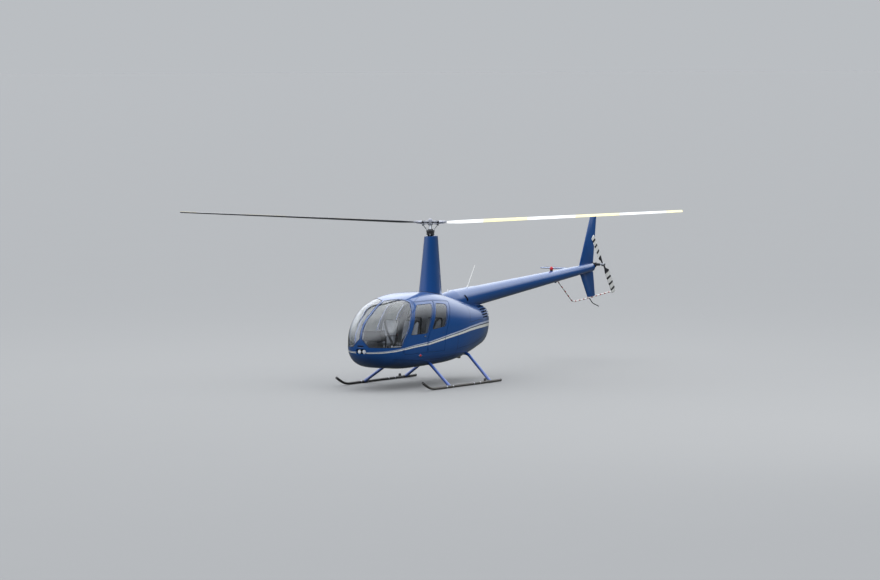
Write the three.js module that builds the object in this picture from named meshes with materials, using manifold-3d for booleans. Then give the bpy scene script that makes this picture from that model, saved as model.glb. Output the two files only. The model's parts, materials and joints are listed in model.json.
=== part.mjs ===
// A light four-seat helicopter parked on its skids. Millimetres, +X towards the nose, +Y to port, +Z up.
// Everything is laid out from the point on the ground below the main rotor mast. The last lines move the
// whole machine so that its origin is the middle of its box, on the ground.
import * as THREE from 'three';
import { mergeVertices } from 'three/addons/utils/BufferGeometryUtils.js';
import Module from 'manifold-3d';

const wasm = await Module();
wasm.setup();

// Driving dimensions
const WALL = 28; // cabin, door and cowl skin with its frames
const SEAT = 0.3; // gap left where two fixed pieces touch
const PANE_IN = 3; // outer face of the glazing, below the skin
const PANE = 6; // thickness of the glazing
const ROTOR_RADIUS = 5029;
const ROTOR_CHORD = 254;
const ROTOR_HUB_Z = 3200;
const ROTOR_TOP_Z = 3277;
const ROTOR_AZIMUTH = -57.5; // where one blade points, in degrees from the nose towards port
const ROTOR_CONING = 2.5;
const TAIL_RADIUS = 736.6;
const TAIL_CHORD = 130;
const TAIL_HUB = [-5893, 260, 2080];
const TAIL_BLADE_ANGLE = 58.8; // of the upper tail blade, in degrees from straight ahead
const SKID_TRACK = 1055; // from the middle to the centre of each skid tube
const SKID_R = 26;
const TUBE_R = 31; // struts and cross tubes
const BOOM = { front: -1000, end: -5850, refX: -1600, refZ: 1655, refR: 198.5, rise: 0.0845, taper: 0.0267,
  wall: 12 };

// The pod that holds the cabin and the engine, section by section from the nose: x, half width, top, bottom,
// height of the widest line, and the exponents of the superellipse above and below that line.
const POD = [
  [2337, 0, 880, 880, 880, 2.2, 2.2],
  [2315, 207, 1119, 705, 880, 2.2, 2.3],
  [2200, 399, 1330, 566, 885, 2.3, 2.5],
  [1980, 565, 1508, 446, 900, 2.6, 2.8],
  [1700, 635, 1682, 412, 930, 3.0, 3.0],
  [1330, 638, 1800, 376, 960, 3.1, 3.2],
  [900, 642, 1850, 376, 980, 2.8, 3.2],
  [300, 642, 1836, 388, 1000, 2.6, 3.2],
  [-250, 618, 1738, 418, 1020, 2.4, 3.0],
  [-750, 536, 1626, 490, 1060, 2.2, 2.8],
  [-1250, 410, 1508, 600, 1100, 2.2, 2.6],
  [-1650, 236, 1465, 693, 1130, 2.2, 2.4],
  [-1860, 110, 1385, 863, 1150, 2.2, 2.2],
  [-1950, 0, 1164, 1164, 1164, 2.1, 2.1],
];
const POD_STEPS = [3, 2, 2, 2, 2, 1, 1, 1, 2, 2, 2, 2, 2]; // rings laid between one row and the next
const POD_AROUND = 28;
const LINING_STEPS = [2, 2, 1, 1, 1, 1, 1, 1, 1, 1, 1, 1, 1];
const LINING_AROUND = 20;

const DEG = Math.PI / 180;
const SIDES = [['port', 1], ['starboard', -1]];

// Paints and other finishes: colour, roughness, metalness, opacity
const FINISH = {
  paint: [0x0d2f7c, 0.25, 0.1, 1],
  glass: [0xc9d3d8, 0.08, 0, 0.35],
  black: [0x17181b, 0.55, 0.1, 1],
  trim: [0x3c4046, 0.8, 0, 1],
  leather: [0x6b6e73, 0.7, 0, 1],
  metal: [0x8c9096, 0.4, 0.8, 1],
  engine: [0x5b5f63, 0.6, 0.6, 1],
  white: [0xe9eae6, 0.4, 0, 1],
  lamp: [0xf4f6f8, 0.15, 0.2, 1],
  red: [0xb3131b, 0.25, 0, 1],
  green: [0x1b8a4a, 0.25, 0, 1],
};

// Catmull-Rom value at t between q[1] and q[2]
function curveValue(q, t) {
  const a = 2 * q[1];
  const b = q[2] - q[0];
  const c = 2 * q[0] - 5 * q[1] + 4 * q[2] - q[3];
  const d = -q[0] + 3 * q[1] - 3 * q[2] + q[3];
  return 0.5 * (a + b * t + c * t * t + d * t * t * t);
}

// The pod's row at s, where s counts rows from the nose. Past each end stands the next row turned over, so
// that the pod closes round.
function podRow(s) {
  const last = POD.length - 1;
  const i = Math.min(Math.floor(s), last - 1);
  const over = ([x, half, top, bottom, wide, up, low]) => [x, -half, bottom, top, wide, up, low];
  const rows = [
    i > 0 ? POD[i - 1] : over(POD[1]),
    POD[i],
    POD[i + 1],
    i + 2 <= last ? POD[i + 2] : over(POD[last - 1]),
  ];
  return POD[0].map((_, k) => curveValue(rows.map((row) => row[k]), s - i));
}

function podSkin(s, angle) {
  const [x, half, top, bottom, wide, up, low] = podRow(s);
  const c = Math.cos(angle);
  const d = Math.sin(angle);
  const power = 2 / (d >= 0 ? up : low);
  const y = half * Math.sign(c) * Math.abs(c) ** power;
  const reach = d >= 0 ? top - wide : wide - bottom;
  return new THREE.Vector3(x, y, wide + reach * Math.sign(d) * Math.abs(d) ** power);
}

// A point of the skin moved inwards along its normal
function podPoint(s, angle, inset) {
  const e = 1e-3;
  const last = POD.length - 1;
  const along = podSkin(Math.min(s + e, last), angle).sub(podSkin(Math.max(s - e, 0), angle));
  const round = podSkin(s, angle + e).sub(podSkin(s, angle - e));
  return podSkin(s, angle).addScaledVector(along.cross(round).normalize(), -inset);
}

// A closed surface through rings of points; a ring of one point is a pole, and open ends get a flat cap.
function loft(rings) {
  const points = [];
  const faces = [];
  const starts = rings.map((ring) => {
    points.push(...ring);
    return points.length - ring.length;
  });
  const cap = (ring, start) => {
    const middle = ring.reduce((sum, p) => sum.add(p), new THREE.Vector3()).divideScalar(ring.length);
    points.push(middle);
    ring.forEach((_, k) => faces.push([points.length - 1, start + k, start + ((k + 1) % ring.length)]));
  };
  for (let i = 0; i + 1 < rings.length; i += 1) {
    const count = Math.max(rings[i].length, rings[i + 1].length);
    const at = (row, k) => starts[row] + (rings[row].length === 1 ? 0 : k % count);
    for (let k = 0; k < count; k += 1) {
      if (rings[i].length > 1) faces.push([at(i, k), at(i, k + 1), at(i + 1, k)]);
      if (rings[i + 1].length > 1) faces.push([at(i, k + 1), at(i + 1, k + 1), at(i + 1, k)]);
    }
  }
  const lastRing = rings.length - 1;
  if (rings[0].length > 1) {
    const before = faces.length;
    cap(rings[0], starts[0]);
    for (let f = before; f < faces.length; f += 1) faces[f].reverse();
  }
  if (rings[lastRing].length > 1) cap(rings[lastRing], starts[lastRing]);
  const geometry = new THREE.BufferGeometry().setFromPoints(points);
  geometry.setIndex(faces.flat());
  return solid(geometry);
}

// A closed geometry as a solid for joining and cutting, turned right side out
function solid(geometry) {
  const bare = geometry.clone();
  bare.deleteAttribute('normal');
  bare.deleteAttribute('uv');
  const merged = mergeVertices(bare, 1e-3);
  const index = Uint32Array.from(merged.index.array);
  const p = merged.attributes.position;
  const corner = (i) => new THREE.Vector3().fromBufferAttribute(p, index[i]);
  let volume = 0;
  for (let i = 0; i < index.length; i += 3) volume += corner(i).dot(corner(i + 1).cross(corner(i + 2)));
  if (volume < 0) index.reverse();
  return new wasm.Manifold(new wasm.Mesh({ numProp: 3, vertProperties: p.array, triVerts: index }));
}

function geometryOf(body) {
  const mesh = body.getMesh();
  const geometry = new THREE.BufferGeometry();
  geometry.setAttribute('position', new THREE.BufferAttribute(mesh.vertProperties, 3));
  geometry.setIndex(new THREE.BufferAttribute(mesh.triVerts, 1));
  geometry.computeVertexNormals();
  return geometry;
}

function join(...bodies) {
  return bodies.reduce((sum, body) => sum.add(body));
}

function cut(body, ...tools) {
  return tools.reduce((rest, tool) => rest.subtract(tool), body);
}

function block(x0, x1, y0, y1, z0, z1) {
  const box = new THREE.BoxGeometry(x1 - x0, y1 - y0, z1 - z0);
  return solid(box.translate((x0 + x1) / 2, (y0 + y1) / 2, (z0 + z1) / 2));
}

// A straight round bar or cone between two points
function rod(from, to, r0, r1 = r0, sides = 16) {
  const a = new THREE.Vector3(...from);
  const b = new THREE.Vector3(...to);
  const bar = new THREE.CylinderGeometry(r1, r0, a.distanceTo(b), sides);
  const along = b.clone().sub(a).normalize();
  const turn = new THREE.Quaternion().setFromUnitVectors(new THREE.Vector3(0, 1, 0), along);
  const middle = a.add(b).multiplyScalar(0.5);
  bar.applyQuaternion(turn);
  return solid(bar.translate(...middle));
}

// A round bar along straight runs whose corners are rounded by `bend`
function bentRod(corners, radius, bend, steps, sides = 10) {
  const points = corners.map((p) => new THREE.Vector3(...p));
  const path = new THREE.CurvePath();
  let from = points[0];
  for (let i = 1; i + 1 < points.length; i += 1) {
    const enter = points[i].clone().sub(points[i - 1]).setLength(bend);
    const leave = points[i + 1].clone().sub(points[i]).setLength(bend);
    const start = points[i].clone().sub(enter);
    const end = points[i].clone().add(leave);
    path.add(new THREE.LineCurve3(from, start));
    path.add(new THREE.QuadraticBezierCurve3(start, points[i], end));
    from = end;
  }
  path.add(new THREE.LineCurve3(from, points[points.length - 1]));
  const round = new THREE.Shape(ring(radius, radius, sides));
  return solid(new THREE.ExtrudeGeometry(round, { steps, extrudePath: path, bevelEnabled: false }));
}

function ring(rx, ry, sides) {
  return Array.from({ length: sides }, (_, k) => {
    const angle = (2 * Math.PI * (k + 0.5)) / sides;
    return new THREE.Vector2(rx * Math.cos(angle), ry * Math.sin(angle));
  });
}

// A prism on an outline drawn in a view: side (x, z) along y, front (y, z) along x, or top (x, y) along z
const VIEWS = {
  side: [[1, 0, 0], [0, 0, 1], [0, -1, 0]],
  front: [[0, 1, 0], [0, 0, 1], [1, 0, 0]],
  top: [[1, 0, 0], [0, 1, 0], [0, 0, 1]],
};

function prism(view, outline, low, high) {
  const shape = new THREE.Shape(outline.map(([a, b]) => new THREE.Vector2(a, b)));
  const body = new THREE.ExtrudeGeometry(shape, { depth: high - low, bevelEnabled: false });
  const axes = VIEWS[view].map((axis) => new THREE.Vector3(...axis));
  body.applyMatrix4(new THREE.Matrix4().makeBasis(...axes));
  const start = axes[2].clone().multiplyScalar(view === 'side' ? -high : low);
  return solid(body.translate(...start));
}

// An outline moved inwards, each edge by its own distance; the outline runs anticlockwise
function shrink(outline, distances) {
  const count = outline.length;
  const by = (i) => (Array.isArray(distances) ? distances[i] : distances);
  const edge = (i) => {
    const [x0, y0] = outline[i];
    const [x1, y1] = outline[(i + 1) % count];
    const length = Math.hypot(x1 - x0, y1 - y0);
    const normal = [-(y1 - y0) / length, (x1 - x0) / length];
    return { normal, level: normal[0] * x0 + normal[1] * y0 + by(i) };
  };
  return outline.map((_, i) => {
    const a = edge((i + count - 1) % count);
    const b = edge(i);
    const det = a.normal[0] * b.normal[1] - a.normal[1] * b.normal[0];
    const x = (a.level * b.normal[1] - b.level * a.normal[1]) / det;
    const y = (a.normal[0] * b.level - b.normal[0] * a.level) / det;
    return [x, y];
  });
}

// An outline with each corner drawn as a short curve that starts `radius` before it
function roundCorners(outline, radius, steps = 2) {
  return outline.flatMap((corner, i) => {
    const p = new THREE.Vector2(...corner);
    const before = new THREE.Vector2(...outline[(i + outline.length - 1) % outline.length]);
    const after = new THREE.Vector2(...outline[(i + 1) % outline.length]);
    const reach = Math.min(radius, before.distanceTo(p) * 0.45, after.distanceTo(p) * 0.45);
    const start = p.clone().add(before.sub(p).setLength(reach));
    const end = p.clone().add(after.sub(p).setLength(reach));
    return new THREE.QuadraticBezierCurve(start, p, end).getPoints(steps).map((q) => [q.x, q.y]);
  });
}

function moved(body, matrix) {
  return solid(geometryOf(body).applyMatrix4(matrix));
}

const helicopter = new THREE.Group();

function piece(name, body, finish) {
  const [color, roughness, metalness, opacity] = FINISH[finish];
  const transparent = opacity < 1;
  const material = new THREE.MeshStandardMaterial({ color, roughness, metalness, opacity, transparent });
  const mesh = new THREE.Mesh(geometryOf(body), material);
  mesh.name = name;
  helicopter.add(mesh);
}

// The pod's whole body, its skin moved inwards by `inset`
function pod(inset, stepList = POD_STEPS, around = POD_AROUND) {
  const last = POD.length - 1;
  const rings = [[podSkin(0, 0).setX(POD[0][0] - inset)]];
  for (let i = 0; i < last; i += 1) {
    for (let k = 0; k < stepList[i]; k += 1) {
      const s = i + k / stepList[i];
      const point = (_, j) => podPoint(s, (2 * Math.PI * j) / around, inset);
      if (s > 0) rings.push(Array.from({ length: around }, point));
    }
  }
  rings.push([podSkin(last, 0).setX(POD[last][0] + inset)]);
  return loft(rings);
}

const FAR = 3000;
const skin = pod(0);
const hollow = (inset) => pod(inset, LINING_STEPS, LINING_AROUND);
const lining = hollow(WALL);
const wall = cut(skin, lining);
const paneWall = cut(pod(PANE_IN), pod(PANE_IN + PANE));
const outside = pod(-SEAT);
const inside = hollow(WALL + SEAT);
const cabinHalf = block(SEAT / 2, FAR, -FAR, FAR, 0, FAR);
const cowlHalf = block(-FAR, -SEAT / 2, -FAR, FAR, 0, FAR);

// Doors, drawn in the side view (x, z), anticlockwise. `gaps` are the running gaps round the door, edge by
// edge: the edge that swings away gets the widest one.
const DOORS = {
  front: {
    outline: [[1002, 700], [1690, 700], [1752, 745], [1752, 905], [1560, 1150], [1352, 1550], [1270, 1690],
      [604, 1690], [1002, 950]],
    gaps: [6, 6, 6, 6, 6, 6, 6, 13, 7],
    window: [[975, 1078], [1546, 1070], [1487, 1150], [1290, 1550], [1190, 1640], [680, 1640]],
    hinge: { x: 1757, y: 628, heights: [775, 880] },
  },
  rear: {
    outline: [[410, 700], [962, 700], [962, 950], [564, 1690], [60, 1640], [318, 1170], [400, 960]],
    gaps: [6, 6, 6, 6, 14, 12, 8],
    window: [[366, 1181], [836, 1137], [546, 1640], [196, 1600]],
    hinge: { x: 967, y: 646, heights: [765, 895] },
  },
};
const DOOR_CORNER = 26;
const WINDOW_CORNER = 60;
const DOOR_DEPTH = [250, 760]; // the prisms reach from inside the cabin to outside the skin

function sidePrism(outline, side) {
  const [near, far] = DOOR_DEPTH;
  return side > 0 ? prism('side', outline, near, far) : prism('side', outline, -far, -near);
}

// Door hinges: the door's knuckle turns between two knuckles of the frame. `room` is the play round them.
const HINGE = { r: 6, half: 9, end: 13, play: 0.5, leaf: 24, sunk: 16, proud: 2 };

function knuckle({ x, y }, side, low, high, reach, room) {
  const pin = rod([x, side * y, low - room], [x, side * y, high + room], HINGE.r + room, HINGE.r + room, 12);
  const across = [side * (y - HINGE.sunk - room), side * (y + HINGE.proud + room)].sort((a, b) => a - b);
  const along = [x, x + reach + Math.sign(reach) * room].sort((a, b) => a - b);
  return join(pin, block(...along, ...across, low - room, high + room));
}

function doorKnuckles({ hinge }, side, room) {
  const { half, leaf } = HINGE;
  return join(...hinge.heights.map((z) => knuckle(hinge, side, z - half, z + half, -leaf, room)));
}

function frameKnuckles({ hinge }, side, room) {
  const { half, end, play, leaf } = HINGE;
  return join(...hinge.heights.flatMap((z) => [
    knuckle(hinge, side, z + half + play, z + half + end, leaf, room),
    knuckle(hinge, side, z - half - end, z - half - play, leaf, room),
  ]));
}

// Windshield: its outline from the side (x, z), the top (x, y) and the front (y, z). The front outline leaves
// the centre strip, and rises over the lamp hood in the nose.
const WINDSHIELD = {
  side: [[1853, 800], [2600, 800], [2600, 2200], [1330, 2200], [1330, 1700], [1410, 1550], [1627, 1150],
    [1758, 970]],
  top: [[1606, 0], [2600, 0], [2600, 900], [1066, 900]],
  front: [[24, 1030], [190, 866], [900, 842], [900, 2200], [24, 2200]],
};

function windshieldArea(side, inset) {
  const across = (outline) => shrink(outline, inset).map(([x, y]) => [x, y * side]);
  const front = shrink(WINDSHIELD.front, inset).map(([y, z]) => [y * side, z]);
  return prism('side', shrink(WINDSHIELD.side, inset), -900, 900)
    .intersect(prism('top', across(WINDSHIELD.top), 700, 2200))
    .intersect(prism('front', front, 1000, 2600));
}

// Lamp recess in the nose
const LAMPS = { half: 170, bottom: 712, top: 838, back: 2190, y: 58, z: 772, r: 42, sunk: 14 };

// Cross tubes: skid end, then the ends of the level run inside the pod
const CROSS_TUBES = [
  { name: 'crosstube_front', x: 830, levelX: 700, levelY: 470, levelZ: 455 },
  { name: 'crosstube_rear', x: -550, levelX: -700, levelY: 400, levelZ: 548 },
];

function crossTube({ x, levelX, levelY, levelZ }, gap) {
  const half = [[x, SKID_TRACK, SKID_R + 4 - gap], [levelX, levelY, levelZ]];
  const far = half.map(([a, b, c]) => [a, -b, c]).reverse();
  return bentRod([...half, ...far], TUBE_R + gap, 70, 26, 8);
}

// Cabin
const windshields = SIDES.map(([, side]) => windshieldArea(side, 0));
const doorHoles = SIDES.flatMap(([, side]) => Object.values(DOORS).map(({ outline, gaps }) => {
  const hole = shrink(outline, gaps.map((gap) => -gap));
  return sidePrism(roundCorners(hole, DOOR_CORNER), side);
}));
const lampHole = block(LAMPS.back - 40, 2500, -LAMPS.half, LAMPS.half, LAMPS.bottom, LAMPS.top);
const cabinWall = wall.intersect(cabinHalf);
const tubeHoles = CROSS_TUBES.map((tube) => crossTube(tube, SEAT));
const doorSet = SIDES.flatMap(([label, side]) => Object.entries(DOORS).map(([place, door]) => (
  { label, side, place, door })));
const frame = cut(cabinWall, ...windshields, ...doorHoles, lampHole, tubeHoles[0]);
const hingeRoom = doorSet.map(({ door, side }) => doorKnuckles(door, side, HINGE.play * 2));
const frameHinges = doorSet.map(({ door, side }) => frameKnuckles(door, side, 0));
piece('cabin_shell', join(cut(frame, ...hingeRoom), ...frameHinges), 'paint');
for (const [label, side] of SIDES) {
  const glass = paneWall.intersect(windshieldArea(side, SEAT));
  piece(`windshield_${label}`, glass, 'glass');
}

for (const { label, side, place, door } of doorSet) {
  const edge = sidePrism(roundCorners(door.outline, DOOR_CORNER), side);
  const window = sidePrism(roundCorners(door.window, WINDOW_CORNER), side);
  const glazing = sidePrism(roundCorners(shrink(door.window, SEAT), WINDOW_CORNER), side);
  const leaf = cut(cabinWall.intersect(edge), window, frameKnuckles(door, side, HINGE.play * 2));
  piece(`door_${place}_${label}`, join(leaf, doorKnuckles(door, side, 0)), 'paint');
  piece(`window_${place}_${label}`, paneWall.intersect(glazing), 'glass');
}

// Floor and firewall close the cabin
const FLOOR = { bottom: 498, top: 524, front: 2020 };
const FIREWALL = 22;
piece('cabin_floor', inside.intersect(block(SEAT, FLOOR.front, -800, 800, FLOOR.bottom, FLOOR.top)), 'trim');
piece('firewall', inside.intersect(block(-FIREWALL, -SEAT, -800, 800, 300, 2000)), 'metal');

// Seats: base box, cushion and back in one side outline (x, z)
const SEATS = {
  front: [[1030, 0], [1480, 0], [1500, 215], [1500, 285], [1150, 262], [1010, 800], [930, 800], [1010, 240]],
  rear: [[190, 0], [690, 0], [710, 215], [710, 285], [330, 262], [250, 830], [160, 830], [170, 240]],
};
const SEAT_SPAN = [44, 466];
for (const [label, side] of SIDES) {
  for (const [place, outline] of Object.entries(SEATS)) {
    const raised = outline.map(([x, z]) => [x, z + FLOOR.top + SEAT]);
    const [near, far] = side > 0 ? SEAT_SPAN : SEAT_SPAN.map((y) => -y).reverse();
    piece(`seat_${place}_${label}`, prism('side', raised, near, far), 'leather');
  }
}

// Instrument pedestal with its wider panel, and the T-shaped cyclic stick between the front seats
const onFloor = FLOOR.top + SEAT;
const pedestal = prism('side', [[1640, onFloor], [1940, onFloor], [1960, 960], [1780, 960]], -120, 120);
const panel = prism('side', [[1775, 950], [1965, 950], [1935, 1150], [1835, 1150]], -215, 215);
piece('instrument_pedestal', join(pedestal, panel), 'black');
const stick = rod([1560, 0, onFloor], [1500, 0, 1040], 16, 14, 12);
const bar = rod([1500, -270, 1040], [1500, 270, 1040], 11, 11, 12);
const grips = [-1, 1].map((side) => rod([1500, side * 265, 925], [1500, side * 265, 1060], 16, 16, 12));
const underFloor = block(1400, 1700, -100, 100, 400, onFloor);
piece('cyclic_stick', join(cut(stick, underFloor), bar, ...grips), 'black');

// Nose lamps in their dark recess
const lampBack = pod(LAMPS.sunk).intersect(block(LAMPS.back, 2500, -LAMPS.half + SEAT, LAMPS.half - SEAT,
  LAMPS.bottom + SEAT, LAMPS.top - SEAT));
const lamps = SIDES.map(([, side]) => {
  const y = side * LAMPS.y;
  return rod([LAMPS.back + 20, y, LAMPS.z], [2326, y, LAMPS.z], LAMPS.r, LAMPS.r, 14);
});
piece('landing_lights', join(lampBack, ...lamps), 'lamp');

// Position lamps low on the cabin's sides
const NAV = { x: 1200, y: 596, z: 652, size: [34, 26, 22] };
for (const [label, side] of SIDES) {
  const ball = new THREE.SphereGeometry(1, 12, 8).scale(...NAV.size).translate(NAV.x, side * NAV.y, NAV.z);
  piece(`nav_light_${label}`, cut(solid(ball), outside), side > 0 ? 'red' : 'green');
}

// Tail boom, a straight taper that rises towards the tail
function boomRadius(x) {
  return BOOM.refR - BOOM.taper * (BOOM.refX - x);
}

function boomZ(x) {
  return BOOM.refZ + BOOM.rise * (BOOM.refX - x);
}

function boomCone(x0, x1, extra, sides = 28) {
  const from = [x0, 0, boomZ(x0)];
  const to = [x1, 0, boomZ(x1)];
  return rod(from, to, boomRadius(x0) + extra, boomRadius(x1) + extra, sides);
}

// The boom is a tube, open at its front end inside the cowl and closed by a bulkhead at its rear end
const boomBore = boomCone(BOOM.front + 10, BOOM.end + BOOM.wall, -BOOM.wall);
piece('tail_boom', cut(boomCone(BOOM.front, BOOM.end, 0), boomBore), 'paint');
const aroundBoom = boomCone(BOOM.front + 301, BOOM.end - 300, SEAT);

// Engine with its mounts to the firewall, and the cooling fan behind it
const ENGINE = { front: -120, rear: -1000, half: 300, bottom: 612, top: 1040, clear: 12 };
const motor = block(ENGINE.rear, ENGINE.front, -ENGINE.half, ENGINE.half, ENGINE.bottom, ENGINE.top);
const mounts = [-1, 1].flatMap((side) => [720, 960].map((z) => rod([ENGINE.front - 10, side * 220, z],
  [-FIREWALL - SEAT, side * 220, z], 24, 24, 12)));
piece('engine_block', join(motor.intersect(hollow(WALL + ENGINE.clear)), ...mounts), 'engine');
const FAN = { front: ENGINE.rear - SEAT, rear: -1290, r: 275, z: 1020, eye: 130 };
const drum = rod([FAN.front, 0, FAN.z], [FAN.rear, 0, FAN.z], FAN.r, FAN.r - 25, 28);
const eye = rod([FAN.rear + 160, 0, FAN.z], [FAN.rear - 60, 0, FAN.z], FAN.eye, FAN.eye, 20);
piece('cooling_fan', cut(drum, eye), 'black');
const PIPE = [[-800, -150, ENGINE.bottom - SEAT], [-800, -150, 500], [-1180, -150, 425]];
const pipe = bentRod(PIPE, 38, 90, 14, 12);
const bore = rod([-1080, -150, 444.7], [-1230, -150, 415.1], 31, 31, 12);
piece('exhaust_pipe', cut(pipe, bore), 'metal');

// Engine cowl: the rear of the pod with the boom's fairing, the fan's louvres and the exhaust pipe's hole. The
// fairing runs forward over the pod's falling roof to the foot of the mast fairing, where its nose dips.
const FAIRING = { nose: -330, noseR: 150, noseZ: 1590, front: -700, rear: -1480, extra: 9 };
const LOUVRES = { count: 5, first: 1230, pitch: 50, height: 25, from: -1270, to: -2000, rib: 24 };

// The nose of the fairing, as a cone whose surface is moved outwards by `room`
function fairingNose(room) {
  const { nose, noseR, noseZ, front, extra } = FAIRING;
  return rod([nose + room, 0, noseZ], [front, 0, boomZ(front)], noseR + room, boomRadius(front) + extra + room,
    28);
}

const fairing = join(fairingNose(0), boomCone(FAIRING.front, FAIRING.rear, FAIRING.extra));
const fairingWay = fairingNose(SEAT - FAIRING.extra);
const slots = Array.from({ length: LOUVRES.count }, (_, k) => {
  const z = LOUVRES.first + k * LOUVRES.pitch;
  return SIDES.map(([, side]) => {
    const [near, far] = side > 0 ? [LOUVRES.rib, 500] : [-500, -LOUVRES.rib];
    return block(LOUVRES.to, LOUVRES.from, near, far, z, z + LOUVRES.height);
  });
}).flat();
const cowl = cut(join(skin.intersect(cowlHalf), fairing), lining, fairingWay, aroundBoom);
const pipeHole = bentRod(PIPE, 48, 90, 14, 12);
piece('engine_cowl', cut(cowl, ...slots, pipeHole, tubeHoles[1]), 'paint');

// Mast fairing: a hollow teardrop tower. Height, half length, half width and middle (x) of its sections.
const TOWER = [
  [1680, 337, 204, -17],
  [1830, 320, 192, -20],
  [2100, 290, 170, -25],
  [2500, 245, 138, -32],
  [2930, 196, 108, -40],
];
const TOWER_WALL = 16;
const TOWER_AROUND = 22;

function towerRing([z, a, b, middle], inset) {
  return Array.from({ length: TOWER_AROUND }, (_, k) => {
    const angle = (2 * Math.PI * k) / TOWER_AROUND;
    const y = (b - inset) * Math.sin(angle) * (0.8 + 0.3 * Math.cos(angle));
    return new THREE.Vector3(middle + (a - inset) * Math.cos(angle), y, z);
  });
}

const tower = loft(TOWER.map((row) => towerRing(row, 0)));
const shaftWay = loft(TOWER.map(([z, ...row], i) => {
  const past = { 0: -50, [TOWER.length - 1]: 50 }[i] ?? 0;
  return towerRing([z + past, ...row], TOWER_WALL);
}));
piece('mast_fairing', cut(tower, shaftWay, outside, fairingNose(SEAT)), 'paint');

// Mast: the standpipe is fixed to the roof and carries the fixed half of the swashplate
const MAST_R = 31.2;
const STANDPIPE = { bore: 32, r: 43, bottom: 1700, top: 2956, plate: 3012, plateR: 80, foot: 80 };
const standpipe = rod([0, 0, STANDPIPE.bottom], [0, 0, STANDPIPE.plate], STANDPIPE.r, STANDPIPE.r, 32);
const foot = rod([0, 0, STANDPIPE.bottom], [0, 0, 1880], STANDPIPE.foot, STANDPIPE.foot, 32);
const plate = rod([0, 0, STANDPIPE.top], [0, 0, STANDPIPE.plate], STANDPIPE.plateR, STANDPIPE.plateR, 32);
const mastWay = rod([0, 0, 1900], [0, 0, STANDPIPE.plate + 50], STANDPIPE.bore, STANDPIPE.bore, 32);
piece('swashplate', cut(join(standpipe, foot, plate), mastWay, outside), 'black');

// Main rotor head: mast, turning swashplate half, teetering hub, grips and pitch links
function bladeFrame(azimuth) {
  const turn = new THREE.Matrix4().makeRotationZ(azimuth * DEG);
  const cone = new THREE.Matrix4().makeRotationY(-ROTOR_CONING * DEG);
  const lift = new THREE.Matrix4().makeTranslation(0, 0, ROTOR_HUB_Z);
  return lift.multiply(turn).multiply(cone);
}

const BLADES = [['a', ROTOR_AZIMUTH], ['b', ROTOR_AZIMUTH + 180]];
const GRIP = { from: 95, to: 330, r: 33, plate: 255, horn: 175, hornY: 118 };
const mast = rod([0, 0, 1906], [0, 0, ROTOR_HUB_Z], MAST_R, MAST_R, 32);
const turningPlate = rod([0, 0, 3018], [0, 0, 3072], 86, 86, 32);
const headParts = BLADES.map(([, azimuth]) => {
  const arm = rod([0, 0, 0], [GRIP.to - 40, 0, 0], GRIP.r, GRIP.r, 12);
  const shoe = block(GRIP.plate, GRIP.to, -85, 60, -16, 16);
  const horn = block(GRIP.horn - 18, GRIP.horn + 18, 0, GRIP.hornY + 14, -14, 10);
  const frame = bladeFrame(azimuth);
  return moved(join(arm, shoe, horn), frame);
});
const links = BLADES.map(([, azimuth]) => {
  const angle = azimuth * DEG;
  const high = [GRIP.horn, GRIP.hornY];
  const low = [60, 50];
  const c = Math.cos(angle);
  const s = Math.sin(angle);
  const at = ([a, b], z) => [a * c - b * s, a * s + b * c, z];
  return rod(at(low, 3050), at(high, ROTOR_HUB_Z + 4), 9, 9, 10);
});
const yoke = moved(block(-150, 150, -52, 52, -30, 30), bladeFrame(ROTOR_AZIMUTH).multiply(
  new THREE.Matrix4().makeRotationY(ROTOR_CONING * DEG)));
const teeter = rod([0, 0, ROTOR_HUB_Z - 40], [0, 0, ROTOR_TOP_Z], 48, 40, 20);
piece('rotor_head', join(mast, turningPlate, yoke, teeter, ...headParts, ...links), 'metal');

// Main blades: radius, chord, pitch in degrees
const BLADE = [
  [GRIP.to + SEAT, 150, 11.5],
  [420, 180, 11.3],
  [620, ROTOR_CHORD, 11],
  [2000, ROTOR_CHORD, 9],
  [3500, ROTOR_CHORD, 6.7],
  [4860, ROTOR_CHORD, 4.7],
  [ROTOR_RADIUS, ROTOR_CHORD * 0.86, 4.5],
];
// Section in parts of the chord, from the quarter-chord line: forward, up
const AEROFOIL = [
  [0.25, 0], [0.2, 0.04], [0.08, 0.066], [-0.1, 0.07], [-0.4, 0.04], [-0.75, 0.006],
  [-0.75, -0.006], [-0.4, -0.03], [-0.1, -0.045], [0.08, -0.044], [0.2, -0.03],
];

function bladeRing(radius, chord, pitch) {
  const c = Math.cos(pitch * DEG);
  const s = Math.sin(pitch * DEG);
  return AEROFOIL.map(([forward, up]) => {
    const y = forward * chord;
    const z = up * chord;
    return new THREE.Vector3(radius, y * c - z * s, y * s + z * c);
  });
}

const bladeShape = loft(BLADE.map((row) => bladeRing(...row)));
for (const [label, azimuth] of BLADES) {
  piece(`main_blade_${label}`, moved(bladeShape, bladeFrame(azimuth)), 'white');
}

// Fins: side outlines (x, z), a flat aerofoil each
const FIN = { y: -58, half: 17 };
const FINS = {
  fin_upper: [[-5980, 2035], [-5440, 2035], [-5460, 2110], [-5880, 3110], [-6120, 3100], [-5985, 2110]],
  fin_lower: [[-6060, 1380], [-5770, 1374], [-5470, 1885], [-5455, 1980], [-5850, 1980], [-5985, 1960]],
};

function finBody(outline) {
  const plateShape = prism('side', outline, FIN.y - FIN.half, FIN.y + FIN.half);
  return cut(plateShape, boomCone(BOOM.front, BOOM.end - 200, SEAT));
}

for (const [name, outline] of Object.entries(FINS)) piece(name, finBody(outline), 'paint');

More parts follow.
